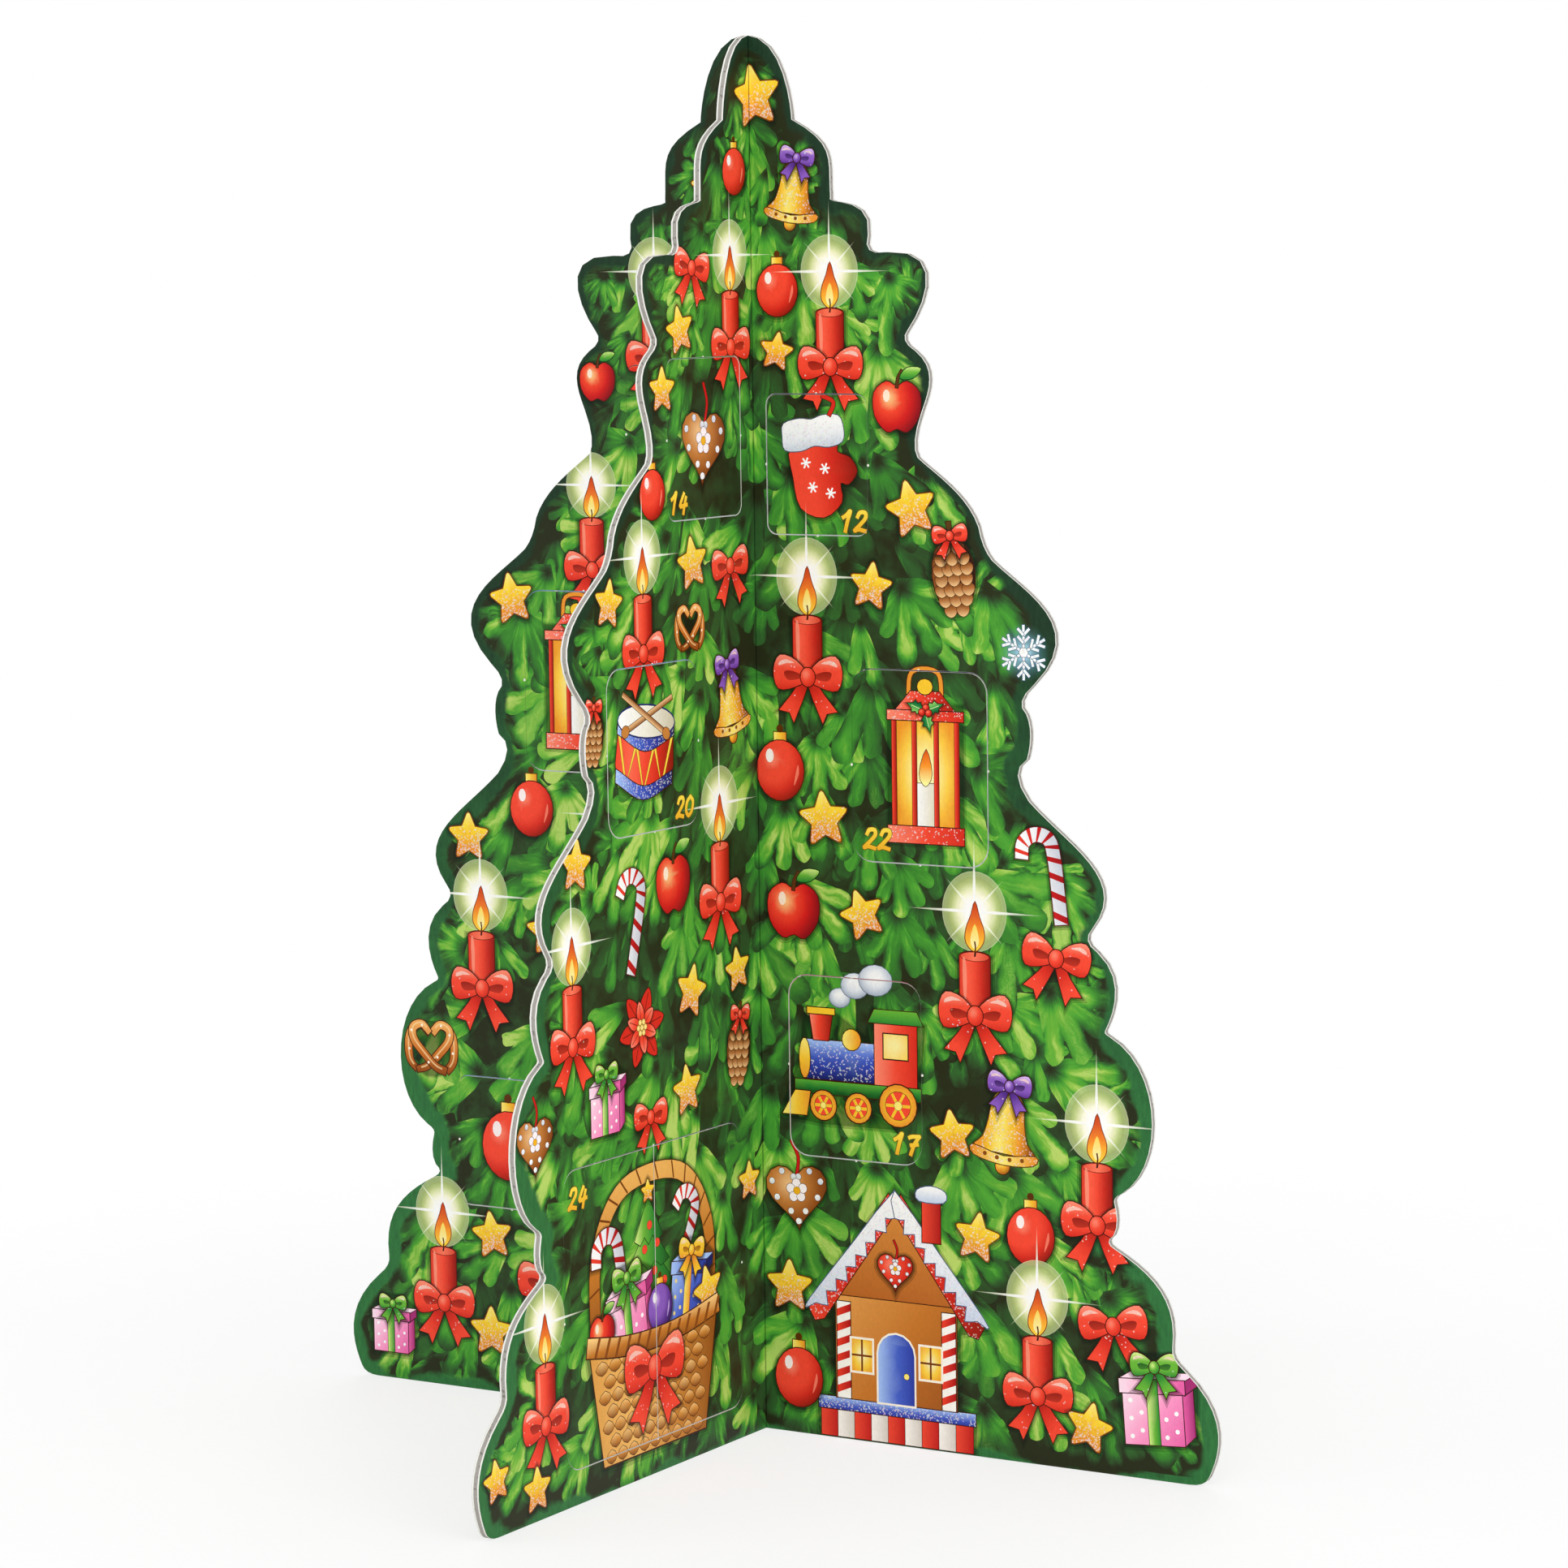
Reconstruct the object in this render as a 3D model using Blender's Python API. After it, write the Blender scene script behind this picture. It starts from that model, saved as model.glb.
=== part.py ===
"""A standing tree advent calendar of printed card.

Four half-tree wings stand in a cross on their base edges and fold flat about a square spine.
Each wing is two picture sheets between two door cards, and 24 numbered doors open outwards.
+Z is up, the right wing runs along +X, and the origin is the middle of the spine at the base.
"""

import math
from collections import namedtuple

import bpy
from mathutils import Matrix, Vector

# Driving sizes, in metres
HEIGHT = 0.420
REACH = 0.154
DOOR_CARD = 0.0005
PICTURE_SHEET = 0.0006
GLUE_LINE = 0.00003
DOOR_CUT = 0.0003
CREASE_CLEARANCE = 0.0003
SMALL_CORNER = 0.0035
LARGE_CORNER = 0.0065

# The longest step along a lobe's curve, in millimetres, and the steps round a notch and round
# the corner of a door
LOBE_STEP = 4.0
NOTCH_STEPS = 4
CORNER_STEPS = 6

# Half of the tree's outline as drawn, in millimetres out from the spine and up from the base.
# Each row is one lobe, from the tip down: two curve handles, the notch that ends the lobe, and
# how far to each side of the notch its corner is rounded. The last notch is the foot's corner.
DRAWN_TIP = (0.0, 420.0)
DRAWN_LOBES = (
    ((15.1, 420.3), (16.2, 391.9), (15.7, 395.1), 3.0),
    ((31.6, 387.2), (27.9, 383.1), (28.8, 372.2), 2.0),
    ((26.2, 369.0), (48.8, 374.3), (39.3, 354.7), 2.5),
    ((74.7, 362.0), (57.3, 334.2), (51.5, 330.2), 4.0),
    ((69.1, 322.4), (59.5, 313.4), (55.0, 299.7), 8.0),
    ((54.4, 294.6), (78.7, 286.7), (78.7, 270.0), 5.0),
    ((85.9, 259.3), (122.3, 249.2), (88.9, 225.4), 3.5),
    ((99.9, 222.3), (91.1, 196.0), (86.7, 205.3), 9.0),
    ((96.8, 186.4), (133.8, 177.8), (110.4, 156.8), 3.5),
    ((127.1, 149.5), (120.8, 135.5), (117.6, 130.1), 1.5),
    ((138.1, 122.8), (137.8, 88.2), (120.1, 82.1), 3.0),
    ((121.0, 81.2), (124.2, 70.4), (117.2, 68.7), 3.0),
    ((133.5, 61.2), (142.5, 53.7), (138.9, 36.5), 2.5),
    ((162.5, 20.8), (152.4, 6.0), (149.8, 0.0), 5.0),
)

# The doors as drawn on each face of each wing, in the same millimetres. A pair of leaves meets
# at its middle. hinge says which upright edge turns: the one near the spine or the outer one.
Door = namedtuple("Door", "number inner outer sill head hinge corner")
FACES = {
    ("right_wing", "front"): (
        Door(12, 5.7, 40.7, 272.6, 314.6, "outer", SMALL_CORNER),
        Door(22, 34.0, 80.2, 176.0, 233.7, "inner", LARGE_CORNER),
        Door(17, 11.0, 57.1, 85.5, 140.8, "outer", LARGE_CORNER),
    ),
    ("front_wing", "right"): (
        Door(14, 8.3, 49.0, 278.7, 326.0, "outer", SMALL_CORNER),
        Door(20, 34.2, 83.2, 189.3, 238.2, "inner", LARGE_CORNER),
        Door(24, 14.0, 110.0, 10.0, 97.5, "pair", LARGE_CORNER),
    ),
    ("front_wing", "left"): (
        Door(6, 9.0, 45.0, 280.0, 322.0, "outer", SMALL_CORNER),
        Door(15, 40.0, 82.0, 176.0, 228.0, "outer", LARGE_CORNER),
        Door(11, 30.0, 76.0, 60.0, 112.0, "inner", LARGE_CORNER),
    ),
    ("left_wing", "front"): (
        Door(3, 8.0, 44.0, 281.0, 323.0, "outer", SMALL_CORNER),
        Door(9, 38.0, 83.0, 198.0, 254.0, "outer", LARGE_CORNER),
        Door(5, 72.0, 111.0, 59.0, 100.5, "outer", SMALL_CORNER),
    ),
    ("left_wing", "back"): (
        Door(18, 10.0, 46.0, 284.0, 325.0, "outer", SMALL_CORNER),
        Door(2, 20.0, 58.0, 198.0, 240.0, "inner", SMALL_CORNER),
        Door(21, 56.0, 104.0, 92.0, 148.0, "outer", LARGE_CORNER),
    ),
    ("rear_wing", "left"): (
        Door(8, 7.0, 42.0, 288.0, 329.0, "outer", SMALL_CORNER),
        Door(13, 42.0, 84.0, 210.0, 256.0, "inner", LARGE_CORNER),
        Door(23, 16.0, 64.0, 88.0, 144.0, "outer", LARGE_CORNER),
    ),
    ("rear_wing", "right"): (
        Door(1, 9.0, 42.0, 268.0, 308.0, "outer", SMALL_CORNER),
        Door(16, 36.0, 78.0, 180.0, 232.0, "inner", LARGE_CORNER),
        Door(10, 52.0, 96.0, 66.0, 116.0, "outer", LARGE_CORNER),
    ),
    ("right_wing", "back"): (
        Door(7, 8.0, 44.0, 286.0, 328.0, "outer", SMALL_CORNER),
        Door(4, 24.0, 62.0, 210.0, 254.0, "outer", SMALL_CORNER),
        Door(19, 68.0, 111.0, 102.0, 150.0, "outer", LARGE_CORNER),
    ),
}

# What follows from the driving sizes
WING_THICKNESS = 2 * (DOOR_CARD + PICTURE_SHEET) + 3 * GLUE_LINE
HALF_WING = WING_THICKNESS / 2
SPINE_EDGE = HALF_WING + CREASE_CLEARANCE
SHEET_MIDDLE = (GLUE_LINE + PICTURE_SHEET) / 2
CARD_MIDDLE = HALF_WING - DOOR_CARD / 2

# Each wing's heading in degrees, and the corner of the square spine that its crease runs up,
# in halves of the wing's thickness. The right wing stays put, so it has no crease of its own.
Wing = namedtuple("Wing", "heading crease")
WINGS = {
    "right_wing": Wing(0, (0, 0)),
    "front_wing": Wing(-90, (1, -1)),
    "left_wing": Wing(180, (-1, -1)),
    "rear_wing": Wing(90, (1, 1)),
}
# The side of a wing that each face is on, seen along the wing from the spine: 1 left, -1 right
SIDES = {
    ("right_wing", "front"): -1,
    ("right_wing", "back"): 1,
    ("front_wing", "right"): 1,
    ("front_wing", "left"): -1,
    ("left_wing", "front"): 1,
    ("left_wing", "back"): -1,
    ("rear_wing", "left"): 1,
    ("rear_wing", "right"): -1,
}

# Colour and roughness of each kind of sheet
PRINTED_GREEN = ((0.030, 0.160, 0.045, 1.0), 0.32)
DOOR_GREEN = ((0.070, 0.260, 0.060, 1.0), 0.32)
SHEET_GREY = ((0.520, 0.510, 0.490, 1.0), 0.60)


def curve_point(start, handle, next_handle, end, t):
    """The point at t, from 0 to 1, on a cubic curve."""
    weights = ((1 - t) ** 3, 3 * (1 - t) ** 2 * t, 3 * (1 - t) * t**2, t**3)
    corners = (start, handle, next_handle, end)
    return tuple(sum(w * p[axis] for w, p in zip(weights, corners)) for axis in (0, 1))


def bend_handles(start, notch, end):
    """The two handles of a curve that rounds the corner at a notch, two thirds of the way in."""
    return [tuple(p / 3 + 2 * n / 3 for p, n in zip(point, notch)) for point in (start, end)]


def drawn_lobe(start, start_rounding, handle, next_handle, notch, rounding):
    """The points of one lobe, between the roundings of the notches at its two ends."""
    span = math.dist(start, notch)
    first = start_rounding / span
    last = 1 - rounding / span
    steps = math.ceil(span / LOBE_STEP)
    places = (first + (last - first) * step / steps for step in range(steps + 1))
    return [curve_point(start, handle, next_handle, notch, t) for t in places]


def drawn_bend(start, notch, end):
    """The points inside a notch's rounded corner, between the lobes that it joins."""
    steps = range(1, NOTCH_STEPS)
    return [curve_point(start, *bend_handles(start, notch, end), end, n / NOTCH_STEPS) for n in steps]


def drawn_outline():
    """The drawn outline from the tip down to the base, in millimetres."""
    points = []
    start = DRAWN_TIP
    rounding = 0.0
    for handle, next_handle, notch, next_rounding in DRAWN_LOBES:
        lobe = drawn_lobe(start, rounding, handle, next_handle, notch, next_rounding)
        if points:
            points += drawn_bend(points[-1], start, lobe[0])
        points += lobe
        start = notch
        rounding = next_rounding
    foot = (start[0] - rounding, start[1])
    return points + drawn_bend(points[-1], start, foot) + [foot]


DRAWN_REACH = max(out for out, up in drawn_outline())
DRAWN_HEIGHT = DRAWN_TIP[1]


def placed(out, up):
    """A drawn point at its real place on a wing, in metres."""
    return (out * REACH / DRAWN_REACH, up * HEIGHT / DRAWN_HEIGHT)


def wing_loop():
    """A wing's edge: up beside the spine, and down the lobes to the base corner."""
    lobes = [placed(out, up) for out, up in drawn_outline()[1:]]
    return [(SPINE_EDGE, 0.0), (SPINE_EDGE, HEIGHT)] + lobes


def rounded_box(inner, outer, sill, head, inner_corner, outer_corner):
    """A rectangle whose two upright edges end in corners of their own radius, or square ones."""
    turns = (
        (outer, head, outer_corner, 1, 1, 0),
        (inner, head, inner_corner, -1, 1, 90),
        (inner, sill, inner_corner, -1, -1, 180),
        (outer, sill, outer_corner, 1, -1, 270),
    )
    loop = []
    for across, up, radius, side, rise, start in turns:
        if radius == 0:
            loop.append((across, up))
            continue
        for step in range(CORNER_STEPS + 1):
            angle = math.radians(start + 90 * step / CORNER_STEPS)
            loop.append(
                (
                    across - side * radius + radius * math.cos(angle),
                    up - rise * radius + radius * math.sin(angle),
                )
            )
    return loop


def window_edges(door):
    """A door window's inner and outer edge, sill and head, in metres."""
    inner, sill = placed(door.inner, door.sill)
    outer, head = placed(door.outer, door.head)
    return inner, outer, sill, head


def window_loop(door):
    """The hole that a door leaves in its card."""
    return rounded_box(*window_edges(door), door.corner, door.corner)


def leaves(door):
    """The name, hinge place and outline of each leaf of a door. A leaf is drawn from its hinge."""
    inner, outer, sill, head = window_edges(door)
    inner += DOOR_CUT
    outer -= DOOR_CUT
    sill += DOOR_CUT
    head -= DOOR_CUT
    corner = door.corner - DOOR_CUT
    name = f"door_{door.number:02d}"
    if door.hinge == "pair":
        middle = (inner + outer) / 2
        halves = (
            (name + "_inner", inner, inner, middle - DOOR_CUT / 2, corner, 0),
            (name + "_outer", outer, middle + DOOR_CUT / 2, outer, 0, corner),
        )
    else:
        hinge = inner if door.hinge == "inner" else outer
        halves = ((name, hinge, inner, outer, corner, corner),)
    return [
        (leaf, hinge, rounded_box(low - hinge, high - hinge, sill, head, *corners))
        for leaf, hinge, low, high, *corners in halves
    ]


def surface(name, colour, roughness):
    """A plain finish of its own for one piece."""
    finish = bpy.data.materials.new(name)
    finish.use_nodes = True
    shader = finish.node_tree.nodes["Principled BSDF"]
    shader.inputs["Base Color"].default_value = colour
    shader.inputs["Roughness"].default_value = roughness
    shader.inputs["Metallic"].default_value = 0.0
    return finish


def flat_sheet(name, loops, thickness, finish):
    """An upright sheet. The first loop is its edge, and the others are holes through it."""
    outline = bpy.data.curves.new(name, "CURVE")
    outline.dimensions = "2D"
    outline.fill_mode = "BOTH"
    outline.extrude = thickness / 2
    for loop in loops:
        spline = outline.splines.new("POLY")
        spline.points.add(len(loop) - 1)
        spline.use_cyclic_u = True
        for point, (across, up) in zip(spline.points, loop):
            point.co = (across, up, 0.0, 1.0)
    outline.materials.append(surface(name, *finish))
    sheet = bpy.data.objects.new(name, outline)
    sheet.rotation_euler = (math.pi / 2, 0.0, 0.0)
    calendar.objects.link(sheet)
    return sheet


def crease_axis(name, place, parent=None):
    """An empty on a crease, which carries what turns about it."""
    axis = bpy.data.objects.new(name, None)
    axis.empty_display_type = "SINGLE_ARROW"
    axis.empty_display_size = HEIGHT / 10
    axis.location = place
    axis.parent = parent
    calendar.objects.link(axis)
    return axis


def wing_carrier(name):
    """The empty on a wing's crease, and where the middle of the spine lies as seen from it."""
    wing = WINGS[name]
    crease = Vector((wing.crease[0] * HALF_WING, wing.crease[1] * HALF_WING, 0.0))
    carrier = crease_axis(name + "_crease", crease)
    carrier.rotation_euler = (0.0, 0.0, math.radians(wing.heading))
    return carrier, Matrix.Rotation(-math.radians(wing.heading), 3, "Z") @ -crease


def add_face(wing_name, face, doors, carrier, middle):
    """One face of a wing: its picture sheet, its door card and the doors cut in the card."""
    side = SIDES[wing_name, face]
    stem = f"{wing_name}_{face}"
    pictures = flat_sheet(stem + "_pictures", [wing_loop()], PICTURE_SHEET, SHEET_GREY)
    pictures.parent = carrier
    pictures.location = middle + Vector((0.0, side * SHEET_MIDDLE, 0.0))
    windows = [window_loop(door) for door in doors]
    card = flat_sheet(stem + "_card", [wing_loop()] + windows, DOOR_CARD, PRINTED_GREEN)
    card.parent = carrier
    card.location = middle + Vector((0.0, side * CARD_MIDDLE, 0.0))
    for door in doors:
        for leaf_name, hinge, loop in leaves(door):
            place = middle + Vector((hinge, side * HALF_WING, 0.0))
            axis = crease_axis(leaf_name + "_crease", place, carrier)
            leaf = flat_sheet(leaf_name, [loop], DOOR_CARD, DOOR_GREEN)
            leaf.parent = axis
            leaf.location = (0.0, side * (CARD_MIDDLE - HALF_WING), 0.0)


for old in list(bpy.data.objects):
    bpy.data.objects.remove(old)
calendar = bpy.data.collections.new("tree_advent_calendar")
bpy.context.scene.collection.children.link(calendar)

for wing_name in WINGS:
    carrier, middle = wing_carrier(wing_name)
    for (owner, face), doors in FACES.items():
        if owner == wing_name:
            add_face(wing_name, face, doors, carrier, middle)
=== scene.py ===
"""A standing tree advent calendar of printed card, dressed over its CAD frame."""

import cmath
import math
import random

import bmesh
import bpy
import numpy as np
from mathutils import Matrix, Vector
from mathutils.geometry import delaunay_2d_cdt


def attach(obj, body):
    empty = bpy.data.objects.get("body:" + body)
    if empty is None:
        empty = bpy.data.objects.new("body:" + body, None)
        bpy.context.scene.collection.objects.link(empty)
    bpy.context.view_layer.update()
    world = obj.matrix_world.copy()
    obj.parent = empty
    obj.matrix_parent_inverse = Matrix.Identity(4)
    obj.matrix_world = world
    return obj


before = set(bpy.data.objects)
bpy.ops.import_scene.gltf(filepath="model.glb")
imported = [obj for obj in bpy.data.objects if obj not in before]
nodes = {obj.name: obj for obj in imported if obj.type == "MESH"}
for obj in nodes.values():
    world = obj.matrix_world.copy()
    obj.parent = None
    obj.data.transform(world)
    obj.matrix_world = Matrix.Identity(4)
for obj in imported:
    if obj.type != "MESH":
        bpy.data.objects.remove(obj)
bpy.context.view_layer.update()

MM = 0.001  # metres

# Where each printed face lies

# A sector is the space between two wings. Its print runs across the crease, and is measured in
# millimetres: real part to the viewer's right of the crease, imaginary part up.

HEADINGS = {"right_wing": 0, "front_wing": -90, "left_wing": 180, "rear_wing": 90}
SECTORS = {
    "front": (("front_wing", "right", -1), ("right_wing", "front", 1)),
    "left": (("left_wing", "front", -1), ("front_wing", "left", 1)),
    "back": (("rear_wing", "left", -1), ("left_wing", "back", 1)),
    "right": (("right_wing", "back", -1), ("rear_wing", "right", 1)),
}
DOORS = {
    ("right_wing", "front"): ("12", "22", "17"),
    ("front_wing", "right"): ("14", "20", "24_inner", "24_outer"),
    ("front_wing", "left"): ("06", "15", "11"),
    ("left_wing", "front"): ("03", "09", "05"),
    ("left_wing", "back"): ("18", "02", "21"),
    ("rear_wing", "left"): ("08", "13", "23"),
    ("rear_wing", "right"): ("01", "16", "10"),
    ("right_wing", "back"): ("07", "04", "19"),
}
# Leaves whose crease is on the side nearer the spine. The others are creased on their outer side.
INNER_HINGED = ("22", "20", "11", "02", "13", "16", "24_inner")
CUT_BARE = 0.04  # mm of white board bared on each side of a cut
NICK = 0.42  # mm from the middle of a torn bridge to its edge
SPINE_CREASE = 1.145  # mm from the spine's middle to the crease between two halves
SPINE_LAP = 0.03  # mm from that crease at which the print begins
NEAR_CREASE = 0.5  # mm from that crease within which the card's own edge lies
CREASE_BRIDGE = 0.24  # mm by which the card's print runs on over a door's crease
INK_BASE, INK_TOP = 0.004, 0.030  # mm above the board, for a print's two sides
PICTURE_BASE, PICTURE_TOP = 0.004, 0.018  # mm above the picture sheet
TILE = 29.0  # mm, the side of the squares in which a print is cut
FIRST_TILE = 0.37 * TILE  # mm of the first square that lie within the outline
FOLD_LEVEL = 205.137  # a tile edge, where a print's bake map starts its second column
SAME_LEVEL = 0.001  # mm
CUT_PRECISION = 1e-5  # mm


class Place:
    """A printed face: turns print millimetres, from the crease, into metres in the frame and back."""

    def __init__(self, wing, hand):
        turn = math.radians(HEADINGS[wing])
        self.across = Vector((math.cos(turn), math.sin(turn), 0)) * hand
        self.out = self.across.cross(Vector((0, 0, 1)))
        self.hand = hand

    def flatten(self, node):
        """Each vertex as a complex print point, and its height over the spine's middle."""
        co = np.array([v.co for v in node.data.vertices]) / MM
        across = co @ np.array(self.across) - self.hand * SPINE_CREASE
        return across + 1j * co[:, 2], co @ np.array(self.out)

    def matrix(self):
        columns = (self.across, Vector((0, 0, 1)), self.out)
        turn = Matrix([[c[i] for c in columns] for i in range(3)]).to_4x4()
        return Matrix.Translation(self.across * self.hand * SPINE_CREASE * MM) @ turn @ Matrix.Scale(MM, 4)


def printed_loops(node, place):
    """The closed outlines of a node's outer side, largest first, and its height."""
    flat, height = place.flatten(node)
    top = height.max()
    edges = set()
    for face in node.data.polygons:
        if min(height[i] for i in face.vertices) < top - SAME_LEVEL:
            continue
        points = [complex(round(flat[i].real, 4), round(flat[i].imag, 4)) for i in face.vertices]
        for a, b in zip(points, points[1:] + points[:1]):
            if (b, a) in edges:
                edges.remove((b, a))
            else:
                edges.add((a, b))
    after = dict(edges)
    loops = []
    while after:
        start, here = after.popitem()
        loop = [start]
        while here != start:
            loop.append(here)
            here = after.pop(here)
        loops.append(anticlockwise(np.array(loop)))
    return sorted(loops, key=area, reverse=True), top


# Plane drawing


def area(loop):
    return float((np.conj(loop) * np.roll(loop, -1)).imag.sum() / 2)


def anticlockwise(loop):
    return loop[::-1] if area(loop) < 0 else loop


def colour(code, cover=1.0):
    """A colour as written in hex, made linear, with how much it covers."""
    channels = [int(code[i : i + 2], 16) / 255 for i in (0, 2, 4)]
    return np.array(
        [c / 12.92 if c < 0.04045 else ((c + 0.055) / 1.055) ** 2.4 for c in channels] + [cover]
    )


def as_colour(value):
    return colour(value) if isinstance(value, str) else value


def plain(value):
    value = as_colour(value)
    return lambda z: np.repeat(value[None], len(z), 0)


def blend(share, stops):
    """Colours spaced evenly over a share that runs from 0 to 1 and is worked out at each point."""
    channels = list(zip(*map(as_colour, stops)))
    at = np.linspace(0, 1, len(stops))

    def paint(z):
        t = share(z)
        return np.stack([np.interp(t, at, channel) for channel in channels], 1)

    return paint


def fade(start, end, *stops):
    """Colours spaced evenly from start to end."""
    way = end - start
    return blend(lambda z: ((z - start) * np.conj(way)).real / abs(way) ** 2, stops)


def glow(centre, reach, *stops):
    """Colours spaced evenly from the centre out to an oval; reach is its half width + 1j half height."""
    return blend(lambda z: np.hypot((z - centre).real / reach.real, (z - centre).imag / reach.imag), stops)


def oval(centre, wide, high, n=18):
    turn = math.tau * np.arange(n) / n
    return centre + wide * np.cos(turn) + 1j * high * np.sin(turn)


def curve(a, b, c, d, steps):
    """Points along the stretches from b to c, where a comes before them and d after."""
    t = (np.arange(steps) / steps)[:, None]
    run = 2 * b + (c - a) * t + (2 * a - 5 * b + 4 * c - d) * t**2 + (3 * b - a - 3 * c + d) * t**3
    return run.T.ravel() / 2


def smooth(points, steps=3):
    """A closed curve through the points."""
    p = np.array(points, complex)
    return curve(np.roll(p, 1), p, np.roll(p, -1), np.roll(p, -2), steps)


def trail(points, steps=4):
    """An open curve through the points."""
    p = np.array([2 * points[0] - points[1], *points, 2 * points[-1] - points[-2]], complex)
    return np.append(curve(p[:-3], p[1:-2], p[2:-1], p[3:], steps), points[-1])


def ribbon(line, width):
    """The outline of a band along an open line; width is one number, or one per point."""
    way = np.gradient(line)
    side = 1j * way / abs(way) * np.asarray(width) / 2
    return np.concatenate([line - side, (line + side)[::-1]])


def mirror(loop):
    return -np.conj(np.asarray(loop, complex))[::-1]


def block(left, bottom, right, top):
    return np.array([left + 1j * bottom, right + 1j * bottom, right + 1j * top, left + 1j * top])


def grown(loop, by):
    """The loop moved outwards by a distance."""
    before, after = loop - np.roll(loop, 1), np.roll(loop, -1) - loop
    before, after = before / np.maximum(abs(before), 1e-9), after / np.maximum(abs(after), 1e-9)
    out = -1j * (before + after)
    share = np.clip(abs(out) / 2, 0.45, 1)
    return loop + by * out / np.maximum(abs(out), 1e-9) / share


def crosses_itself(loop):
    """Whether two sides of the loop cut each other."""
    a, b = loop, np.roll(loop, -1)
    left_of = lambda p, q, r: (np.conj(q - p) * (r - p)).imag
    one = left_of(a[:, None], b[:, None], a[None]) * left_of(a[:, None], b[:, None], b[None]) < 0
    return bool((one & one.T).any())


def simple_loops(loop):
    """The same shape as loops that don't cross themselves, with any holes filled."""
    if not crosses_itself(loop):
        return [loop]
    n = len(loop)
    points = [Vector((p.real, p.imag)) for p in loop]
    out = delaunay_2d_cdt(points, [(k, (k + 1) % n) for k in range(n)], [], 0, CUT_PRECISION)
    place = np.array([complex(*v) for v in out[0]])
    ways = {}
    for corners in out[2]:
        round_it = np.append(loop, loop[0]) - place[corners].mean()
        if abs(np.angle(round_it[1:] / round_it[:-1]).sum()) > 3:
            for start, end in zip(corners, corners[1:] + corners[:1]):
                if start in ways.get(end, ()):
                    ways[end].remove(start)
                else:
                    ways.setdefault(start, []).append(end)
    found = []
    while any(ways.values()):
        start = next(k for k, ends in ways.items() if ends)
        walk = [start]
        while ways.get(walk[-1]):
            walk.append(ways[walk[-1]].pop())
            if walk[-1] in walk[:-1]:
                ring = walk[walk.index(walk[-1]) : -1]
                walk = walk[: len(walk) - len(ring)]
                ring = place[ring]
                if area(ring) > 0.02:
                    found.append(ring)
    return found


class Sheet:
    """The shapes drawn on a print, the lowest first."""

    def __init__(self):
        self.loops, self.paints, self.glitter, self.needles = [], [], [], []

    def add(self, loop, paint, glitter=0.0, needles=None):
        for part in simple_loops(anticlockwise(np.asarray(loop, complex))):
            self.loops.append(part)
            self.paints.append(paint)
            self.glitter.append(glitter)
            self.needles.append(needles)


class Pen:
    """Draws on a sheet in millimetres of its own, moved, sized and turned."""

    def __init__(self, sheet, at=0j, size=1.0, turn=0.0):
        self.sheet, self.at, self.gain = sheet, at, size * cmath.exp(1j * math.radians(turn))

    def moved(self, at, size=1.0, turn=0.0):
        pen = Pen(self.sheet)
        pen.at = self.at + self.gain * at
        pen.gain = self.gain * size * cmath.exp(1j * math.radians(turn))
        return pen

    def fill(self, loop, paint, line=0.3, glitter=0.0, rings=(), edge="3a1408"):
        """One shape. line is its dark outline's width, and rings are inner copies that carry a gradient."""
        loop = anticlockwise(np.asarray(loop, complex))
        at, gain = self.at, self.gain
        paint = paint if callable(paint) else plain(paint)
        if line:
            self.sheet.add(at + gain * grown(loop, line / abs(gain)), plain(edge))
        centre = loop.mean()
        for share in (1.0, *rings):
            inner = centre + share * (loop - centre)
            sparkle = (lambda z: glitter((z - at) / gain)) if callable(glitter) else glitter
            self.sheet.add(at + gain * inner, lambda z: paint((z - at) / gain), sparkle)

    def shade(self, loop, by=1.5):
        """The dark hollow that a motif makes in the twigs round it."""
        loop = anticlockwise(np.asarray(loop, complex))
        for share, cover in ((1.0, 0.35), (0.55, 0.5)):
            outer = grown(loop, by * share / abs(self.gain)) - 0.35j / self.gain * share
            self.sheet.add(self.at + self.gain * outer, plain(colour("03140a", cover)))


# Motifs

GOLD = ("ffec7a", "fac832", "ee9630", "9a5312")
RED = ("ff8c72", "f64a34", "d92c1f", "8c1a10")
BLUE = ("a8c8ff", "4a66d0", "2c3da6", "171f63")
VIOLET = ("d9b8f4", "8a5cc0", "5a3392", "331a5c")
GREEN = ("d6f08c", "69b53a", "2f8a34", "14501f")
PINK = ("ffe0f0", "ff9ccb", "ea62a8", "a52f72")
WHITE = ("ffffff", "f4f6fa", "cdd6e4", "8f9db4")
BROWN = ("f2c48c", "c9813c", "94501e", "54280c")
SHINE = colour("ffffff", 0.85)


def star(pen):
    tips = []
    for k in range(5):
        up = cmath.exp(1j * (math.pi / 2 + math.tau * k / 5))
        side = cmath.exp(1j * math.pi / 5)
        tips += [7.2 * up * cmath.exp(-0.085j), 7.65 * up, 7.2 * up * cmath.exp(0.085j), 4.1 * up * side]
    loop = np.array(tips)
    pen.shade(loop)
    low = lambda z: np.clip(0.4 - z.imag / 11, 0, 0.85)
    pen.fill(
        loop, fade(6.5j, -6.5j, GOLD[0], "ffdc3c", GOLD[1], GOLD[2], GOLD[2]), glitter=low, line=0.35,
        edge="7a3a10",
    )
    for k in range(5):
        tip, inner = loop[4 * k + 1] * 0.93, loop[4 * k - 1] * 0.95
        pen.fill(
            [0, inner, tip], fade(0j, tip, colour(GOLD[2], 0.30), colour(GOLD[2], 0.05)), line=0,
            glitter=low,
        )


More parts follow.
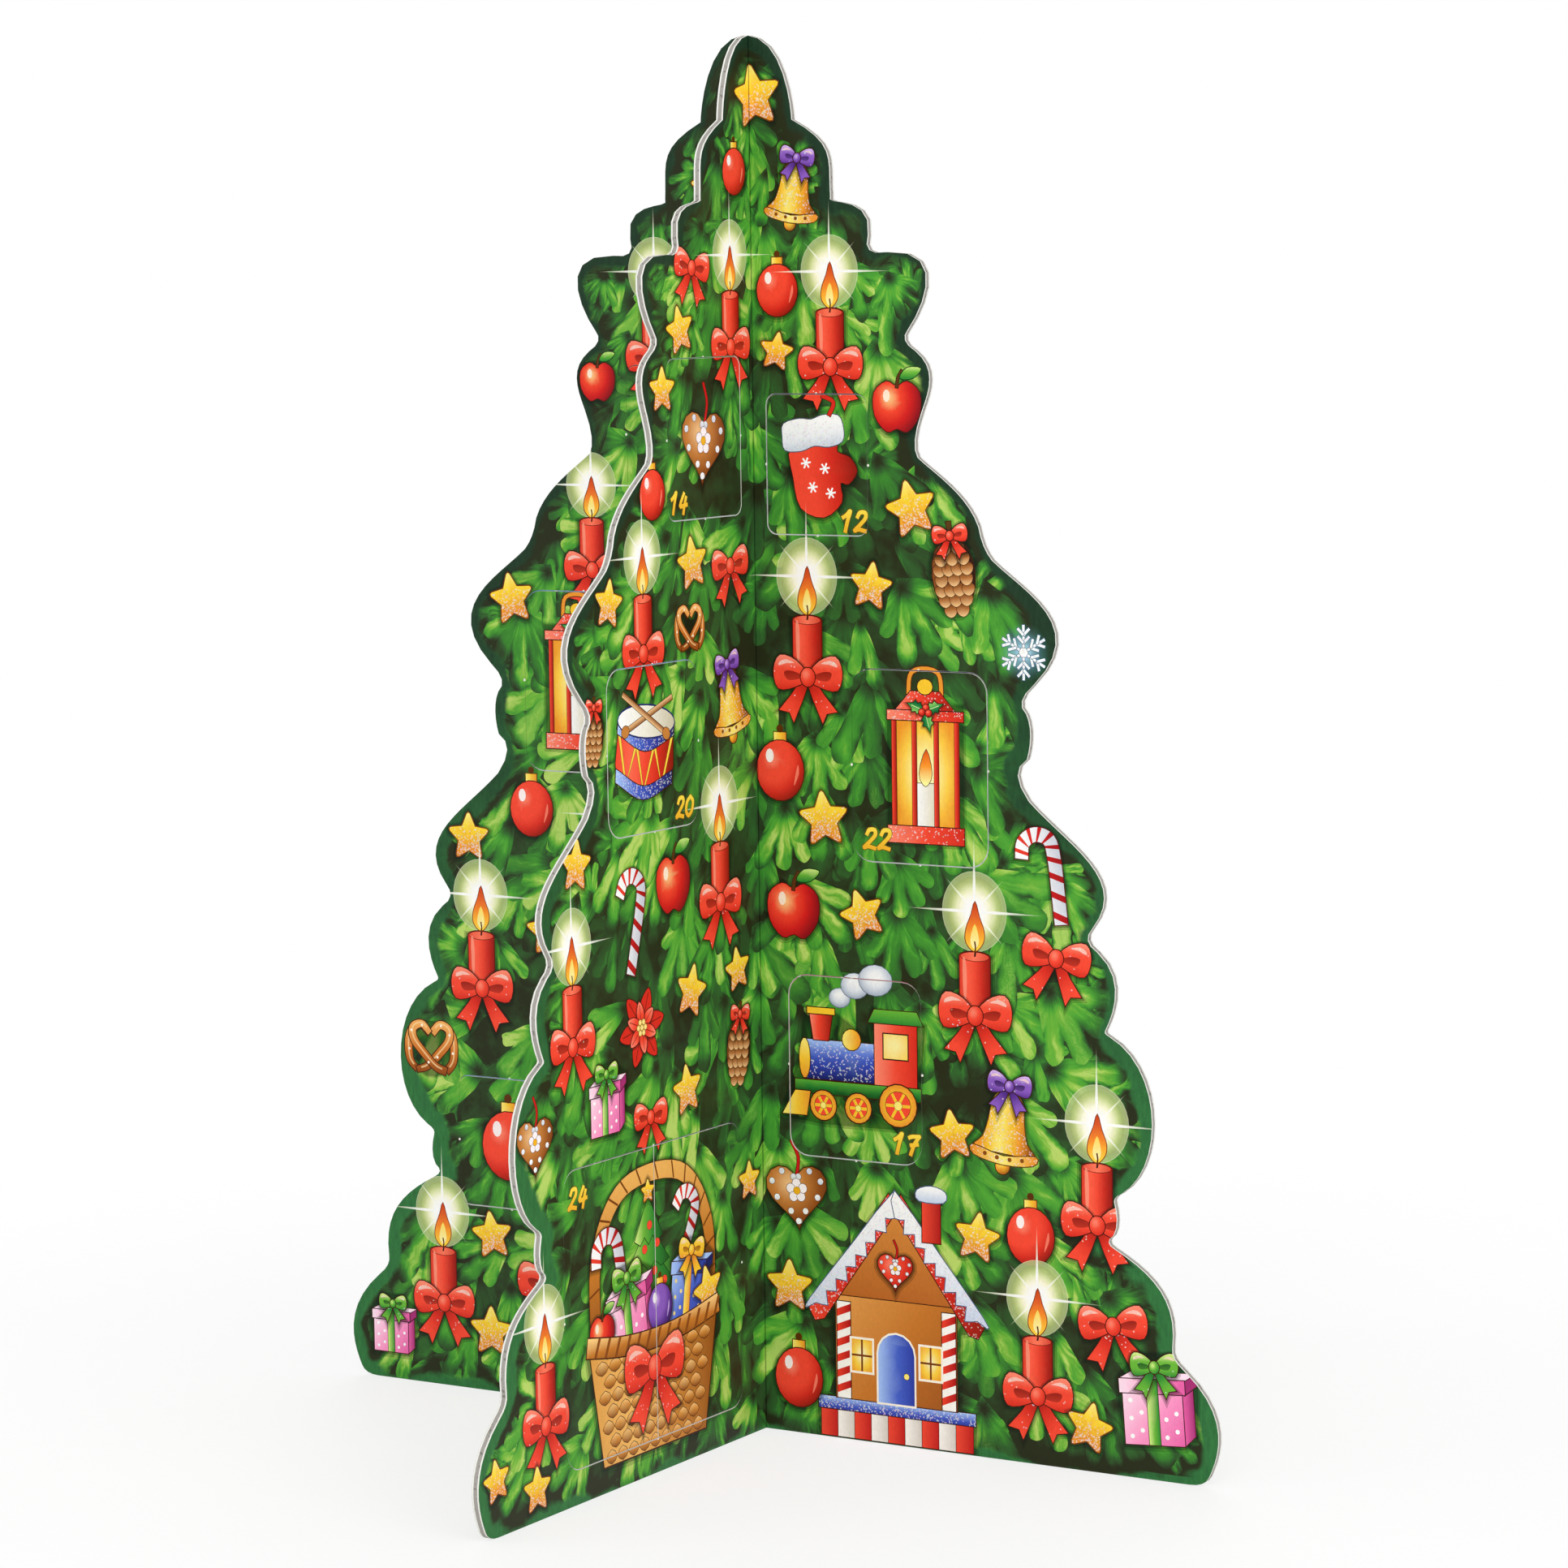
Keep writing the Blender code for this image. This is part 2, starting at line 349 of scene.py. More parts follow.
def bauble(pen, hue=RED):
    body = oval(0, 5.9, 6.5, 22)
    pen.shade(body)
    pen.fill(block(-1.5, 6, 1.5, 8.2), fade(-1.5, 1.5, *GOLD[:3]), edge="5a3008")
    pen.fill(oval(9j, 0.9, 0.9, 8), "5a3008", line=0)
    pen.fill(
        body, glow(-2 + 2.4j, 9 + 9.6j, hue[0], hue[1], hue[1], hue[2], hue[3]), rings=(0.8, 0.6, 0.4, 0.2),
    )
    pen.fill(oval(-2.6 + 3.1j, 1.0, 1.5, 12), SHINE, line=0)
    pen.fill(smooth([3.4 - 3.2j, 4.6 - 0.6j, 4.4 + 1.4j, 3.7 - 1.2j]), colour(hue[0], 0.7), line=0)


def bow(pen, hue=RED):
    loop = smooth([0, 3.4 + 4.2j, 8.4 + 5.6j, 10.4 + 1.6j, 9 - 3.2j, 3.8 - 2.6j])
    tail = np.array([-0.4 - 1j, 2 - 0.6j, 4.8 - 4.4j, 8.8 - 8.8j, 5.6 - 9.4j, 4.4 - 12j, 1.6 - 6j])
    for side in (lambda z: z, mirror):
        pen.shade(side(loop), 1.2)
        pen.shade(side(tail), 1.2)
    for side in (lambda z: z, mirror):
        edge = side(np.array([9 - 11j]))[0]
        pen.fill(side(tail), fade(0j, edge, hue[3], hue[2], hue[1], hue[1]), glitter=0.03, rings=(0.6,))
        pen.fill(
            side(loop), fade(5j, -3.4j, hue[0], hue[1], hue[1], hue[2]), rings=(0.7, 0.4), glitter=0.03,
        )
        dent = side(smooth([1.2 + 0.2j, 4.8 + 1.5j, 7.2 + 1.2j, 6.2 - 0.8j, 3.4 - 0.7j]))
        pen.fill(dent, fade(2j, -1j, hue[3], colour(hue[3], 0.6)), line=0)
        gleam = side(smooth([4 + 3.6j, 6.6 + 4.5j, 8.6 + 3.8j, 8.8 + 2.8j, 6.4 + 3.5j], 2))
        pen.fill(gleam, colour("ffd9cc", 0.7), line=0, glitter=0.25)
    pen.fill(oval(0, 2.2, 2.5, 14), glow(-0.6 + 0.8j, 3 + 3.4j, hue[0], hue[1], hue[2]), rings=(0.5,))


def holly(pen):
    leaf = [
        0, 1.6 + 1.6j, 2.6 + 1.4j, 4 + 3j, 5.4 + 2j, 7 + 3j, 8 + 1.2j, 11 + 0j, 8 - 1.2j, 7 - 3j, 5.4 - 2j,
        4 - 3j, 2.6 - 1.4j, 1.6 - 1.6j,
    ]
    for turn in (160, 20, -75):
        side = pen.moved(0, 0.8, turn)
        side.shade(leaf, 0.8)
        side.fill(leaf, fade(2.4j, -2.4j, "8fd06a", "2f9a48", "0f5c34"), edge="062a12", line=0.25)
        side.fill(ribbon(np.array([0.6, 4.0, 8.6 + 0j]), 0.35), "d8f0a8", line=0)
    for at in (0.4 + 1.3j, -1.5 - 0.6j, 1.7 - 0.9j):
        pen.fill(oval(at, 1.5, 1.5, 12), glow(at - 0.4 + 0.5j, 2 + 2j, *RED), rings=(0.5,), line=0.25)


def candle(pen):
    """A lit candle over a bow, about 22 mm wide and 48 mm tall."""
    heart = 25.8j
    reach = 9.3 + 10.3j
    halo = oval(heart, reach.real, reach.imag, 32)
    pen.shade(block(-4.6, -3, 4.6, 14))
    pen.fill(grown(halo, 0.25), colour("e3ecbc", 0.55), line=0)
    ring = (colour("dfe6ac", 0.70), colour("b9c97c", 0.54), colour("95aa54", 0.46), colour("86a048", 0.5))
    light = ("ffffff", "ffffff", "ffffff", "fffef2", colour("f8f7d6", 0.9), *ring)
    pen.fill(halo, glow(heart, reach, *light), line=0, rings=(0.88, 0.74, 0.6, 0.46, 0.3))
    for k in range(8):
        way = cmath.exp(1j * math.tau * k / 8)
        long, half = ((21, 0.42), (12.5, 0.3))[k % 2]
        ray = heart + way * np.array([0, 6 - half * 1j, long, 6 + half * 1j])
        beam = fade(
            heart, heart + way * long, "ffffff", colour("ffffff", 0.9), colour("f6fae0", 0.6),
            colour("ecf4c8", 0.0),
        )
        pen.fill(ray, beam, line=0)
    body = np.concatenate([[-4.5 + 14j, -4.5 - 3j, 4.5 - 3j, 4.5 + 14j], 14j + oval(0, 4.5, 1.3, 16)[1:8]])
    pen.fill(body, fade(-4.5, 4.5, "dd3a28", "ff6248", "f24a34", "c8281c", "8c170e"), edge="4a0a08")
    pen.fill(
        oval(14j, 4.2, 1.15, 16), fade(-4.5, 4.5, "e8503a", "ff7a5c", "d23a28"), edge="6a120c", line=0.18,
    )
    pen.fill(
        smooth([-3.6 + 13j, -3.4 + 4j, -2.6 + 3j, -2.4 + 9j, -2.8 + 13.2j]), colour("ff9a80", 0.75), line=0,
    )
    pen.fill(ribbon(trail([0 + 14j, 0.3 + 16j, 0 + 18.4j]), 0.55), "3a1408", line=0)
    flame = smooth(
        [
            0 + 15.4j, 2.4 + 17.6j, 2.8 + 20.6j, 1.4 + 24.4j, 0.2 + 28.2j, -0.9 + 25j, -2.5 + 21j,
            -2.5 + 17.6j,
        ]
    )
    pen.fill(
        flame, fade(15j, 28j, "ffe24a", "ffb838", "f68a2c", "e4602a", "c9431a"), edge="8a3a14", line=0.3,
    )
    pen.fill(
        smooth([0 + 16j, 1.3 + 18.2j, 0.1 + 22.6j, -1.3 + 18.2j]), fade(16j, 23j, "fff6b0", "ffd84a"),
        line=0,
    )
    pen.fill(ribbon(trail([0 + 15j, 0.25 + 16.4j, 0 + 18j]), 0.45), "5a2410", line=0)
    bow(pen.moved(-1.5j, 1.04))


def bell(pen):
    body = smooth(
        [
            -1.8 + 7.4j, -3.6 + 5.2j, -4.2 + 1j, -5.2 - 2.8j, -7 - 5.2j, 0 - 5.6j, 7 - 5.2j, 5.2 - 2.8j,
            4.2 + 1j, 3.6 + 5.2j, 1.8 + 7.4j,
        ]
    )
    pen.shade(body)
    pen.fill(oval(-8.4j, 1.7, 1.7, 12), glow(-0.5 - 7.9j, 2.4 + 2.4j, *GOLD))
    pen.fill(body, fade(-6, 6, *GOLD[2::-1], *GOLD[1:]), glitter=0.3, edge="5a2c08")
    pen.fill(
        smooth([-7.4 - 5j, 0 - 6.2j, 7.4 - 5j, 7 - 7j, 0 - 8j, -7 - 7j]),
        fade(-7, 7, GOLD[2], GOLD[0], GOLD[2]), edge="5a2c08", glitter=0.3,
    )
    for x in (-4.4, -1.5, 1.5, 4.4):
        pen.fill(oval(x - (6.9 - abs(x) * 0.12) * 1j, 0.5, 0.5, 7), "8a4a10", line=0)
    bow(pen.moved(8.6j, 0.5), VIOLET)


def cane(pen):
    line = trail([-4.6 + 5.6j, -3.4 + 9.2j, 0 + 10.6j, 3.4 + 8.8j, 3.8 + 4j, 3.2 - 3j, 2.4 - 11j], 5)
    body = ribbon(line, 3.4)
    pen.shade(body, 1.2)
    pen.fill(body, fade(-5, 5, "ffffff", "f2f2f6", "c9ccd8"), edge="5a0c10")
    n = len(line)
    left, right = body[:n], body[::-1][:n]
    for k in range(1, n - 2, 3):
        pen.fill(
            [left[k], left[k + 1], right[min(k + 2, n - 1)], right[k + 1]],
            fade(-5, 5, "f0402c", "d01e20", "a01016"), line=0,
        )


def gift(pen, hue=PINK, tie=GREEN, dots="ffffff"):
    pen.shade([-8 - 8j, 8 - 8j, 11 - 5.4j, 12 + 9.8j, 5 + 14j, -3 + 14j, -8.8 + 8j])
    pen.fill([8 - 8j, 11 - 5.4j, 11 + 7j, 8 + 5j], fade(8, 11, hue[2], hue[3]))
    pen.fill(block(-8, -8, 8, 5), fade(-8 + 5j, 8 - 8j, hue[0], hue[1], hue[2]))
    for k in range(9):
        at = complex((-6, -3.2, 3.4, 6.2)[k % 4], -6 + 4.4 * (k // 4) + 1.5 * (k % 2))
        pen.fill(oval(at, 0.6, 0.6, 8), dots, line=0)
    pen.fill([8.8 + 4.6j, 12 + 6.8j, 12 + 9.8j, 8.8 + 8j], hue[3])
    pen.fill([-8.8 + 8j, 8.8 + 8j, 12 + 9.8j, -5.4 + 9.8j], hue[0])
    pen.fill(block(-8.8, 4.6, 8.8, 8), fade(-8, 8, hue[0], hue[1], hue[2]))
    pen.fill(block(-1.5, -8, 1.5, 8), fade(-1.5, 1.5, tie[0], tie[1], tie[2]), line=0.2)
    bow(pen.moved(1 + 11j, 0.62), tie)


def cone(pen):
    pen.shade(oval(0, 5.4, 8.6, 18))
    pen.fill(oval(0, 5.2, 8.4, 18), fade(-5, 5, "8a4c20", "5a2c10", "2c1408"))
    for row in range(7):
        y = -7 + 2.2 * row
        half = 4.6 * math.sqrt(max(0.0, 1 - (y / 9.2) ** 2))
        count = 2 + row % 2 if abs(y) > 5 else 4 - row % 2
        for k in range(count):
            x = (k - (count - 1) / 2) * 2 * half / count
            scale = smooth(
                [
                    x - 1.5 + 1j * y, x - 1.2 + 1j * (y - 1.4), x + 1j * (y - 2.1),
                    x + 1.2 + 1j * (y - 1.4), x + 1.5 + 1j * y, x + 1j * (y + 1),
                ],
                2,
            )
            pen.fill(
                scale, fade(x + 1j * (y - 2), x + 1j * (y + 1), "f0c48a", "b06c34", "5a2c10"), line=0.18,
            )
    pen.fill(block(-0.6, 8, 0.6, 11.5), "5a3a14", line=0.2)
    bow(pen.moved(8.4j, 0.42), RED)


def mitten(pen):
    hand = smooth(
        [
            -5 + 4j, -5.6 - 2j, -4.8 - 8j, 0 - 10.4j, 4.4 - 8j, 4.6 - 4.4j, 6.4 - 4.8j, 8.6 - 2.6j,
            7.4 + 0.2j, 4.8 + 1.6j, 4.6 + 4j,
        ]
    )
    pen.shade(hand)
    pen.fill(hand, fade(-6, 8, RED[1], *RED[1:]))
    for at in (-2.4 + 0.4j, 1.6 - 1.2j, -1.6 - 4.4j, 2.2 - 6j):
        for turn in (0, 60, 120):
            way = cmath.exp(1j * math.radians(turn))
            pen.fill(ribbon(at + way * np.array([-1.1, 0, 1.1]), 0.35), "ffffff", line=0)
    cuff = smooth(
        [
            -6.6 + 3.4j, -3 + 2.8j, 0 + 3.4j, 3 + 2.8j, 6.2 + 3.4j, 6.8 + 6j, 6 + 8.4j, 2.6 + 8.9j,
            0 + 8.4j, -2.6 + 8.9j, -6.2 + 8.4j, -6.8 + 6j,
        ]
    )
    pen.fill(cuff, fade(8j, 3j, *WHITE[:3]), glitter=0.3, edge="4a5064")
    pen.fill(ribbon(trail([4 + 8.6j, 5.4 + 11j, 3 + 12.6j]), 0.8), RED[2], line=0.2)


def heart(pen, hue=BROWN):
    t = math.tau * np.arange(26) / 26
    loop = (
        16 * np.sin(t) ** 3 + 1j * (13 * np.cos(t) - 5 * np.cos(2 * t) - 2 * np.cos(3 * t) - np.cos(4 * t))
    ) * 0.5
    pen.shade(loop)
    pen.fill(ribbon(trail([0 + 3j, 1 + 8j, -0.6 + 12j]), 0.7), "c81a1c", line=0.2)
    pen.fill(loop, glow(-2 + 2j, 12 + 12j, *hue), rings=(0.75, 0.5, 0.25))
    for k in range(0, 26, 2):
        pen.fill(
            oval(loop[k] * 0.82, 0.75, 0.75, 8), fade(loop[k] + 1j, loop[k] - 1j, "ffffff", "d9dce8"),
            line=0.12, glitter=0.3,
        )
    for k in range(5):
        way = cmath.exp(1j * (math.pi / 2 + math.tau * k / 5))
        pen.fill(oval(0.4j + 1.7 * way, 1.1, 1.1, 10), "fdf4f8", line=0.15)
    pen.fill(oval(0.4j, 0.9, 0.9, 8), "f2b21e", line=0.1)


def flake(pen):
    pen.fill(
        oval(0, 7.6, 7.6, 20),
        glow(0, 7.6 + 7.6j, colour("bfe0f4", 0.55), colour("7fb4d0", 0.3), colour("3f8a70", 0.0)), line=0,
        rings=(0.6, 0.3),
    )
    for k in range(6):
        way = 1j * cmath.exp(1j * math.tau * k / 6)
        parts = [np.array([0.2, 3.5, 7.0])] + [
            np.array([d, d + 0.9 + s * 0.9j, d + 1.7 + s * 1.7j]) for d in (2.4, 4.4) for s in (-1, 1)
        ]
        for part in parts:
            pen.fill(ribbon(part * way, 0.7), "f6fbff", line=0.16, edge="2a5a78", glitter=0.9)
    pen.fill(oval(0, 1.3, 1.3, 6), "ffffff", line=0.15, edge="2a5a78", glitter=0.9)


def drum(pen):
    side = trail([-9 + 5j, -9 - 5j, 0 - 8j, 9 - 5j, 9 + 5j], 3)
    pen.shade(side)
    pen.fill(side, fade(-9, 9, RED[1], "ff6a50", *RED[1:]))
    for x in range(-9, 9, 6):
        sag = lambda v: v - 1j * 2.8 * (1 - (v.real / 9.5) ** 2)
        line = np.array([sag(x + 4j), sag(x + 3 - 4.4j), sag(x + 6 + 4j)])
        pen.fill(ribbon(line, 0.7), "ffd94a", line=0.15)
    for y in (-5.6, 3.2):
        band = np.concatenate(
            [
                trail([-9.4 + 1j * (y + 2.4), 0 + 1j * (y - 0.6), 9.4 + 1j * (y + 2.4)], 5),
                trail([9.4 + 1j * y, 0 + 1j * (y - 3), -9.4 + 1j * y], 5),
            ]
        )
        pen.fill(band, fade(-9, 9, *BLUE), glitter=0.5)
    pen.fill(oval(5.6j, 9.4, 2.9, 24), fade(-9, 9, "ffffff", "f4efe0", "cfc6ac"), edge="1b2468", line=0.5)
    for turn in (24, 156):
        stick = pen.moved(1 + 7j if turn == 24 else -1 + 7j, 1, turn)
        stick.fill(block(-8, -0.5, 8, 0.5), fade(0.5j, -0.5j, "f2c48c", "94501e"), line=0.2)
        stick.fill(oval(-8.6, 1.3, 1.1, 10), BROWN[1], line=0.2)


def apple(pen):
    body = smooth(
        [
            0 + 5j, 3 + 6.2j, 6.6 + 3.4j, 6.4 - 2.4j, 3 - 6.4j, 0 - 5.6j, -3 - 6.4j, -6.4 - 2.4j,
            -6.6 + 3.4j, -3 + 6.2j,
        ]
    )
    pen.shade(body)
    pen.fill(
        body, glow(-2.2 + 2j, 9 + 10j, "ffd08a", "f4472e", "d41f1e", "86101a"), rings=(0.75, 0.5, 0.25),
    )
    pen.fill(ribbon(trail([0 + 4.6j, 0.4 + 7j, 1.6 + 9j]), 0.8), "5a3414", line=0.2)
    pen.fill(smooth([1 + 7j, 3 + 9.6j, 7 + 9.4j, 4.6 + 7j]), fade(10j, 7j, *GREEN[:3]), edge="0c3a14")
    pen.fill(oval(-3 + 2.6j, 1, 1.6, 10), colour("fff4e0", 0.8), line=0)


def bloom(pen):
    petal = smooth([0, 2.6 - 1.9j, 6.4 - 2.2j, 9.8, 6.4 + 2.2j, 2.6 + 1.9j])
    for size, start, shift in ((1.0, 10, 1), (0.66, 40, 0)):
        for k in range(6):
            leaf = pen.moved(0, size, start + 60 * k)
            leaf.shade(petal, 0.7)
            leaf.fill(
                petal, fade(0, 9.8, RED[2 + shift], RED[1 + shift], RED[2 * shift]), edge="4a060a",
                line=0.25,
            )
            leaf.fill(ribbon(np.array([1, 5, 8.6 + 0j]), 0.3), RED[3], line=0)
    for k in range(7):
        at = 1.5 * cmath.exp(1j * math.tau * k / 6) if k < 6 else 0
        pen.fill(oval(at, 0.75, 0.75, 8), glow(at, 1 + 1j, "fff6a8", "f2b21e"), line=0.15)


def lantern(pen):
    pen.shade(block(-8.5, -16, 8.5, 12))
    pen.fill(ribbon(trail([-4 + 13j, -3 + 19j, 3 + 19j, 4 + 13j], 5), 0.9), GOLD[2], edge="4a2408")
    pen.fill([-8 + 10j, 8 + 10j, 3.4 + 15j, -3.4 + 15j], fade(-8, 8, *RED), glitter=0.2)
    pen.fill(oval(16j, 1.8, 1.6, 12), GOLD[1])
    pen.fill(
        block(-7, -13, 7, 10), glow(-2j, 8 + 13j, "fffde0", "fff09a", "ffd24a", "f0962a"), rings=(0.7, 0.4),
    )
    pen.fill(block(-2, -13, 2, -4), fade(-2, 2, "ffffff", "e6ddc4"), line=0.2)
    pen.fill(
        smooth([0 - 4.6j, 1.5 - 2j, 0.2 + 3j, -1.5 - 2j]), fade(-4j, 3j, "fff9a0", "ff9a2c", "e04a1a"),
        line=0.2,
    )
    for x in (-7.4, -2.6, 2.6, 7.4):
        pen.fill(block(x - 0.55, -13, x + 0.55, 10), fade(x - 0.5, x + 0.5, *RED[1:]), line=0.15)
    pen.fill(block(-9, 9, 9, 11), fade(-9, 9, *RED[:3]), glitter=0.2)
    pen.fill(block(-9, -16.5, 9, -13), fade(-9, 9, *RED[:3]), glitter=0.2)
    holly(pen.moved(11j, 0.5))


def engine(pen):
    pen.shade(
        [
            -19.4 - 10.6j, -8.6 - 11.6j, 11 - 11.4j, 16 - 6j, 17.6 + 12j, 5 + 15j, 3 + 8j, -5.4 + 13j,
            -12.6 + 14j, -14.6 + 2j,
        ]
    )
    for at, size in ((-4 + 17j, 2.2), (0 + 20j, 2.9), (5.4 + 21.6j, 3.5)):
        pen.fill(
            oval(at, size * 1.25, size, 16), glow(at + 0.6j, size * 1.5 + size * 1.3j, *WHITE),
            rings=(0.5,), edge="5a6478", line=0.2,
        )
    pen.fill(block(-13, -2, 6, 7), fade(7j, -2j, *BLUE), glitter=0.3)
    pen.fill([-11 + 7j, -7 + 7j, -6 + 13j, -12 + 13j], fade(-12, -6, *RED))
    pen.fill(block(-12.6, 13, -5.4, 14.4), GOLD[1])
    pen.fill(oval(-1 + 7.6j, 2.4, 2.4, 14), fade(-3, 1, *GOLD[:3]))
    pen.fill(oval(-13.4 + 2.6j, 1.4, 4.6, 14), fade(7j, -2j, *GOLD[:3]))
    pen.fill(block(5, -4, 16, 12), fade(5, 16, *RED[:3]))
    pen.fill(block(7.4, 4, 13.6, 9.6), glow(10 + 7j, 5 + 5j, "fff6b0", "ffcf4a"), line=0.4)
    pen.fill([3.4 + 12j, 17.6 + 12j, 16 + 15j, 5 + 15j], fade(15j, 12j, GREEN[1], GREEN[2]))
    pen.fill(block(-16, -5.4, 17, -2.4), fade(-2j, -5j, *GREEN[1:]))
    pen.fill([-16 - 5j, -19.4 - 10.6j, -13 - 10.6j, -12 - 5j], fade(-19, -12, *GOLD[:3]))
    for at, size in ((-8.6 - 8j, 3.4), (0.6 - 8j, 3.4), (11 - 6.6j, 4.8)):
        pen.fill(oval(at, size, size, 18), glow(at, size + 1j * size, *GOLD[:3]), line=0.4)
        pen.fill(oval(at, size * 0.68, size * 0.68, 14), RED[1], line=0.15)
        for k in range(6):
            way = cmath.exp(1j * math.tau * k / 6) * size * 0.66
            pen.fill(ribbon(at + way * np.array([0.1, 0.5, 1]), 0.7), GOLD[1], line=0)
        pen.fill(oval(at, size * 0.22, size * 0.22, 8), GOLD[0], line=0.1)


def tree(pen):
    pen.fill(block(-1.5, -11, 1.5, -6), BROWN[2])
    for low, half, high in ((-7, 9, 2), (-2, 7, 6), (3, 4.8, 11)):
        hem = [(1, 0), (0.6, -1), (0.3, 0.4), (0, -1.2), (-0.3, 0.4), (-0.6, -1), (-1, 0)]
        skirt = [1j * high] + [complex(-half * share, low + drop) for share, drop in hem]
        pen.fill(skirt, fade(-half, half, *GREEN), edge="0c3a14")
    for at in (-4 - 5j, 2 - 3.6j, -1.4 + 1j, 3 + 1.6j, 0.4 + 5.4j, 5.4 - 6j):
        pen.fill(oval(at, 0.9, 0.9, 8), RED[1], line=0.1)
    star(pen.moved(12j, 0.3))


def wreath(pen):
    """A ring of green leaves with berries and a bow, about 24 mm wide."""
    for k in range(22):
        way = cmath.exp(1j * math.tau * k / 22)
        leaf = pen.moved(
            (8.6 + 1.3 * (k % 2)) * way, 1, math.degrees(cmath.phase(way)) + 90 + (18, -22)[k % 2],
        )
        blade = smooth([-3.6, -1 - 1.7j, 2.6 - 1.2j, 4.4, 2.6 + 1.2j, -1 + 1.7j], 2)
        leaf.shade(blade, 0.9)
        leaf.fill(blade, fade(1.6j, -1.6j, "9ccf5c", "3f9a3c", "175a2a"), edge="0a3012", line=0.22)
        leaf.fill(ribbon(np.array([-2.4, 0, 3.2 + 0j]), 0.3), "d6eca0", line=0)
    for k in range(9):
        at = (8.2 + 1.6 * (k % 2)) * cmath.exp(1j * (math.tau * k / 9 + 0.4))
        pen.fill(oval(at, 1.25, 1.25, 10), glow(at - 0.4 + 0.5j, 2 + 2j, *RED), line=0.2)
    bow(pen.moved(-9j, 0.72), RED)


def pretzel(pen):
    pen.shade(oval(0, 7.4, 7.4, 18), 0.8)
    bend = [-4.9 - 6.2j, -1.4 - 5.0j, 2.6 - 1.4j, 5.8 + 2.2j, 6.0 + 5.4j, 3.0 + 6.6j, 0.4 + 4.2j]
    arm = trail(bend, 5)
    side = trail([-4.9 - 6.2j, -7.2 - 3.4j, -7.6 + 1.4j, -6.4 + 4.8j, -3.4 + 6.6j, -0.4 + 4.2j], 5)
    for part in (side, mirror(side), arm, mirror(arm)):
        width = np.interp(np.linspace(0, 1, len(part)), (0, 0.3, 1), (1.6, 2.4, 2.2))
        pen.fill(ribbon(part, width), fade(6j, -7j, "f0a85a", "cf742a", "8f4716"), edge="4a2008", line=0.35)
        pen.fill(ribbon(part[2:-2] + 0.3j, 0.5), colour("ffdca0", 0.6), line=0)
    for at in (-6.6 + 4.6j, 6.2 + 4j, -1 - 4j, 2.0 - 2.4j, 7.2 - 1j, -7.4 - 0.6j, 3.4 + 6.4j, -3 + 6.2j):
        pen.fill(oval(at, 0.42, 0.42, 6), "fff4dc", line=0)


def stocking(pen):
    """A long red stocking with parcels in it, about 22 mm wide and 46 mm tall."""
    cane(pen.moved(-3 + 17j, 0.85, 12))
    gift(pen.moved(3.4 + 14.6j, 0.62, -8), BLUE, GOLD, "f7e08a")
    bauble(pen.moved(-4 + 12.4j, 0.62), VIOLET)
    leg = smooth(
        [
            -6.4 + 9j, -6.2 + 0j, -6.6 - 7j, -9.4 - 12j, -10 - 16j, -6.6 - 18.6j, -1 - 16.6j, 4.4 - 11j,
            6 - 4j, 6.4 + 9j,
        ]
    )
    pen.shade(leg)
    pen.fill(leg, fade(-8, 7, "ee4431", "ff5a42", "f4432f", "c9271b"), edge="4a0a08")
    for k in range(11):
        at = complex((-3.6, 0.4, 3.8)[k % 3] - (0, 0, 0, 1, 3.4)[k // 3 + (k > 8)], 5.6 - 2.1 * k)
        for way in (1, 1j) if k % 2 else ():
            pen.fill(ribbon(at + way * np.array([-0.9, 0, 0.9]), 0.3), "fff2e6", line=0)
        pen.fill(oval(at, 0.4, 0.4, 7), "fff2e6", line=0)
    pen.fill(
        smooth([-9.6 - 12.6j, -10 - 16j, -6.6 - 18.6j, -4 - 17.4j, -6 - 13j]),
        fade(-10, -4, GREEN[1], GREEN[2]), line=0.25,
    )
    cuff = smooth([-7.8 + 7.6j, 0 + 6.6j, 7.8 + 7.6j, 8 + 11.4j, 0 + 12.4j, -8 + 11.4j], 4)
    pen.fill(cuff, fade(12j, 7j, *WHITE[:3]), glitter=0.2, edge="4a5064")


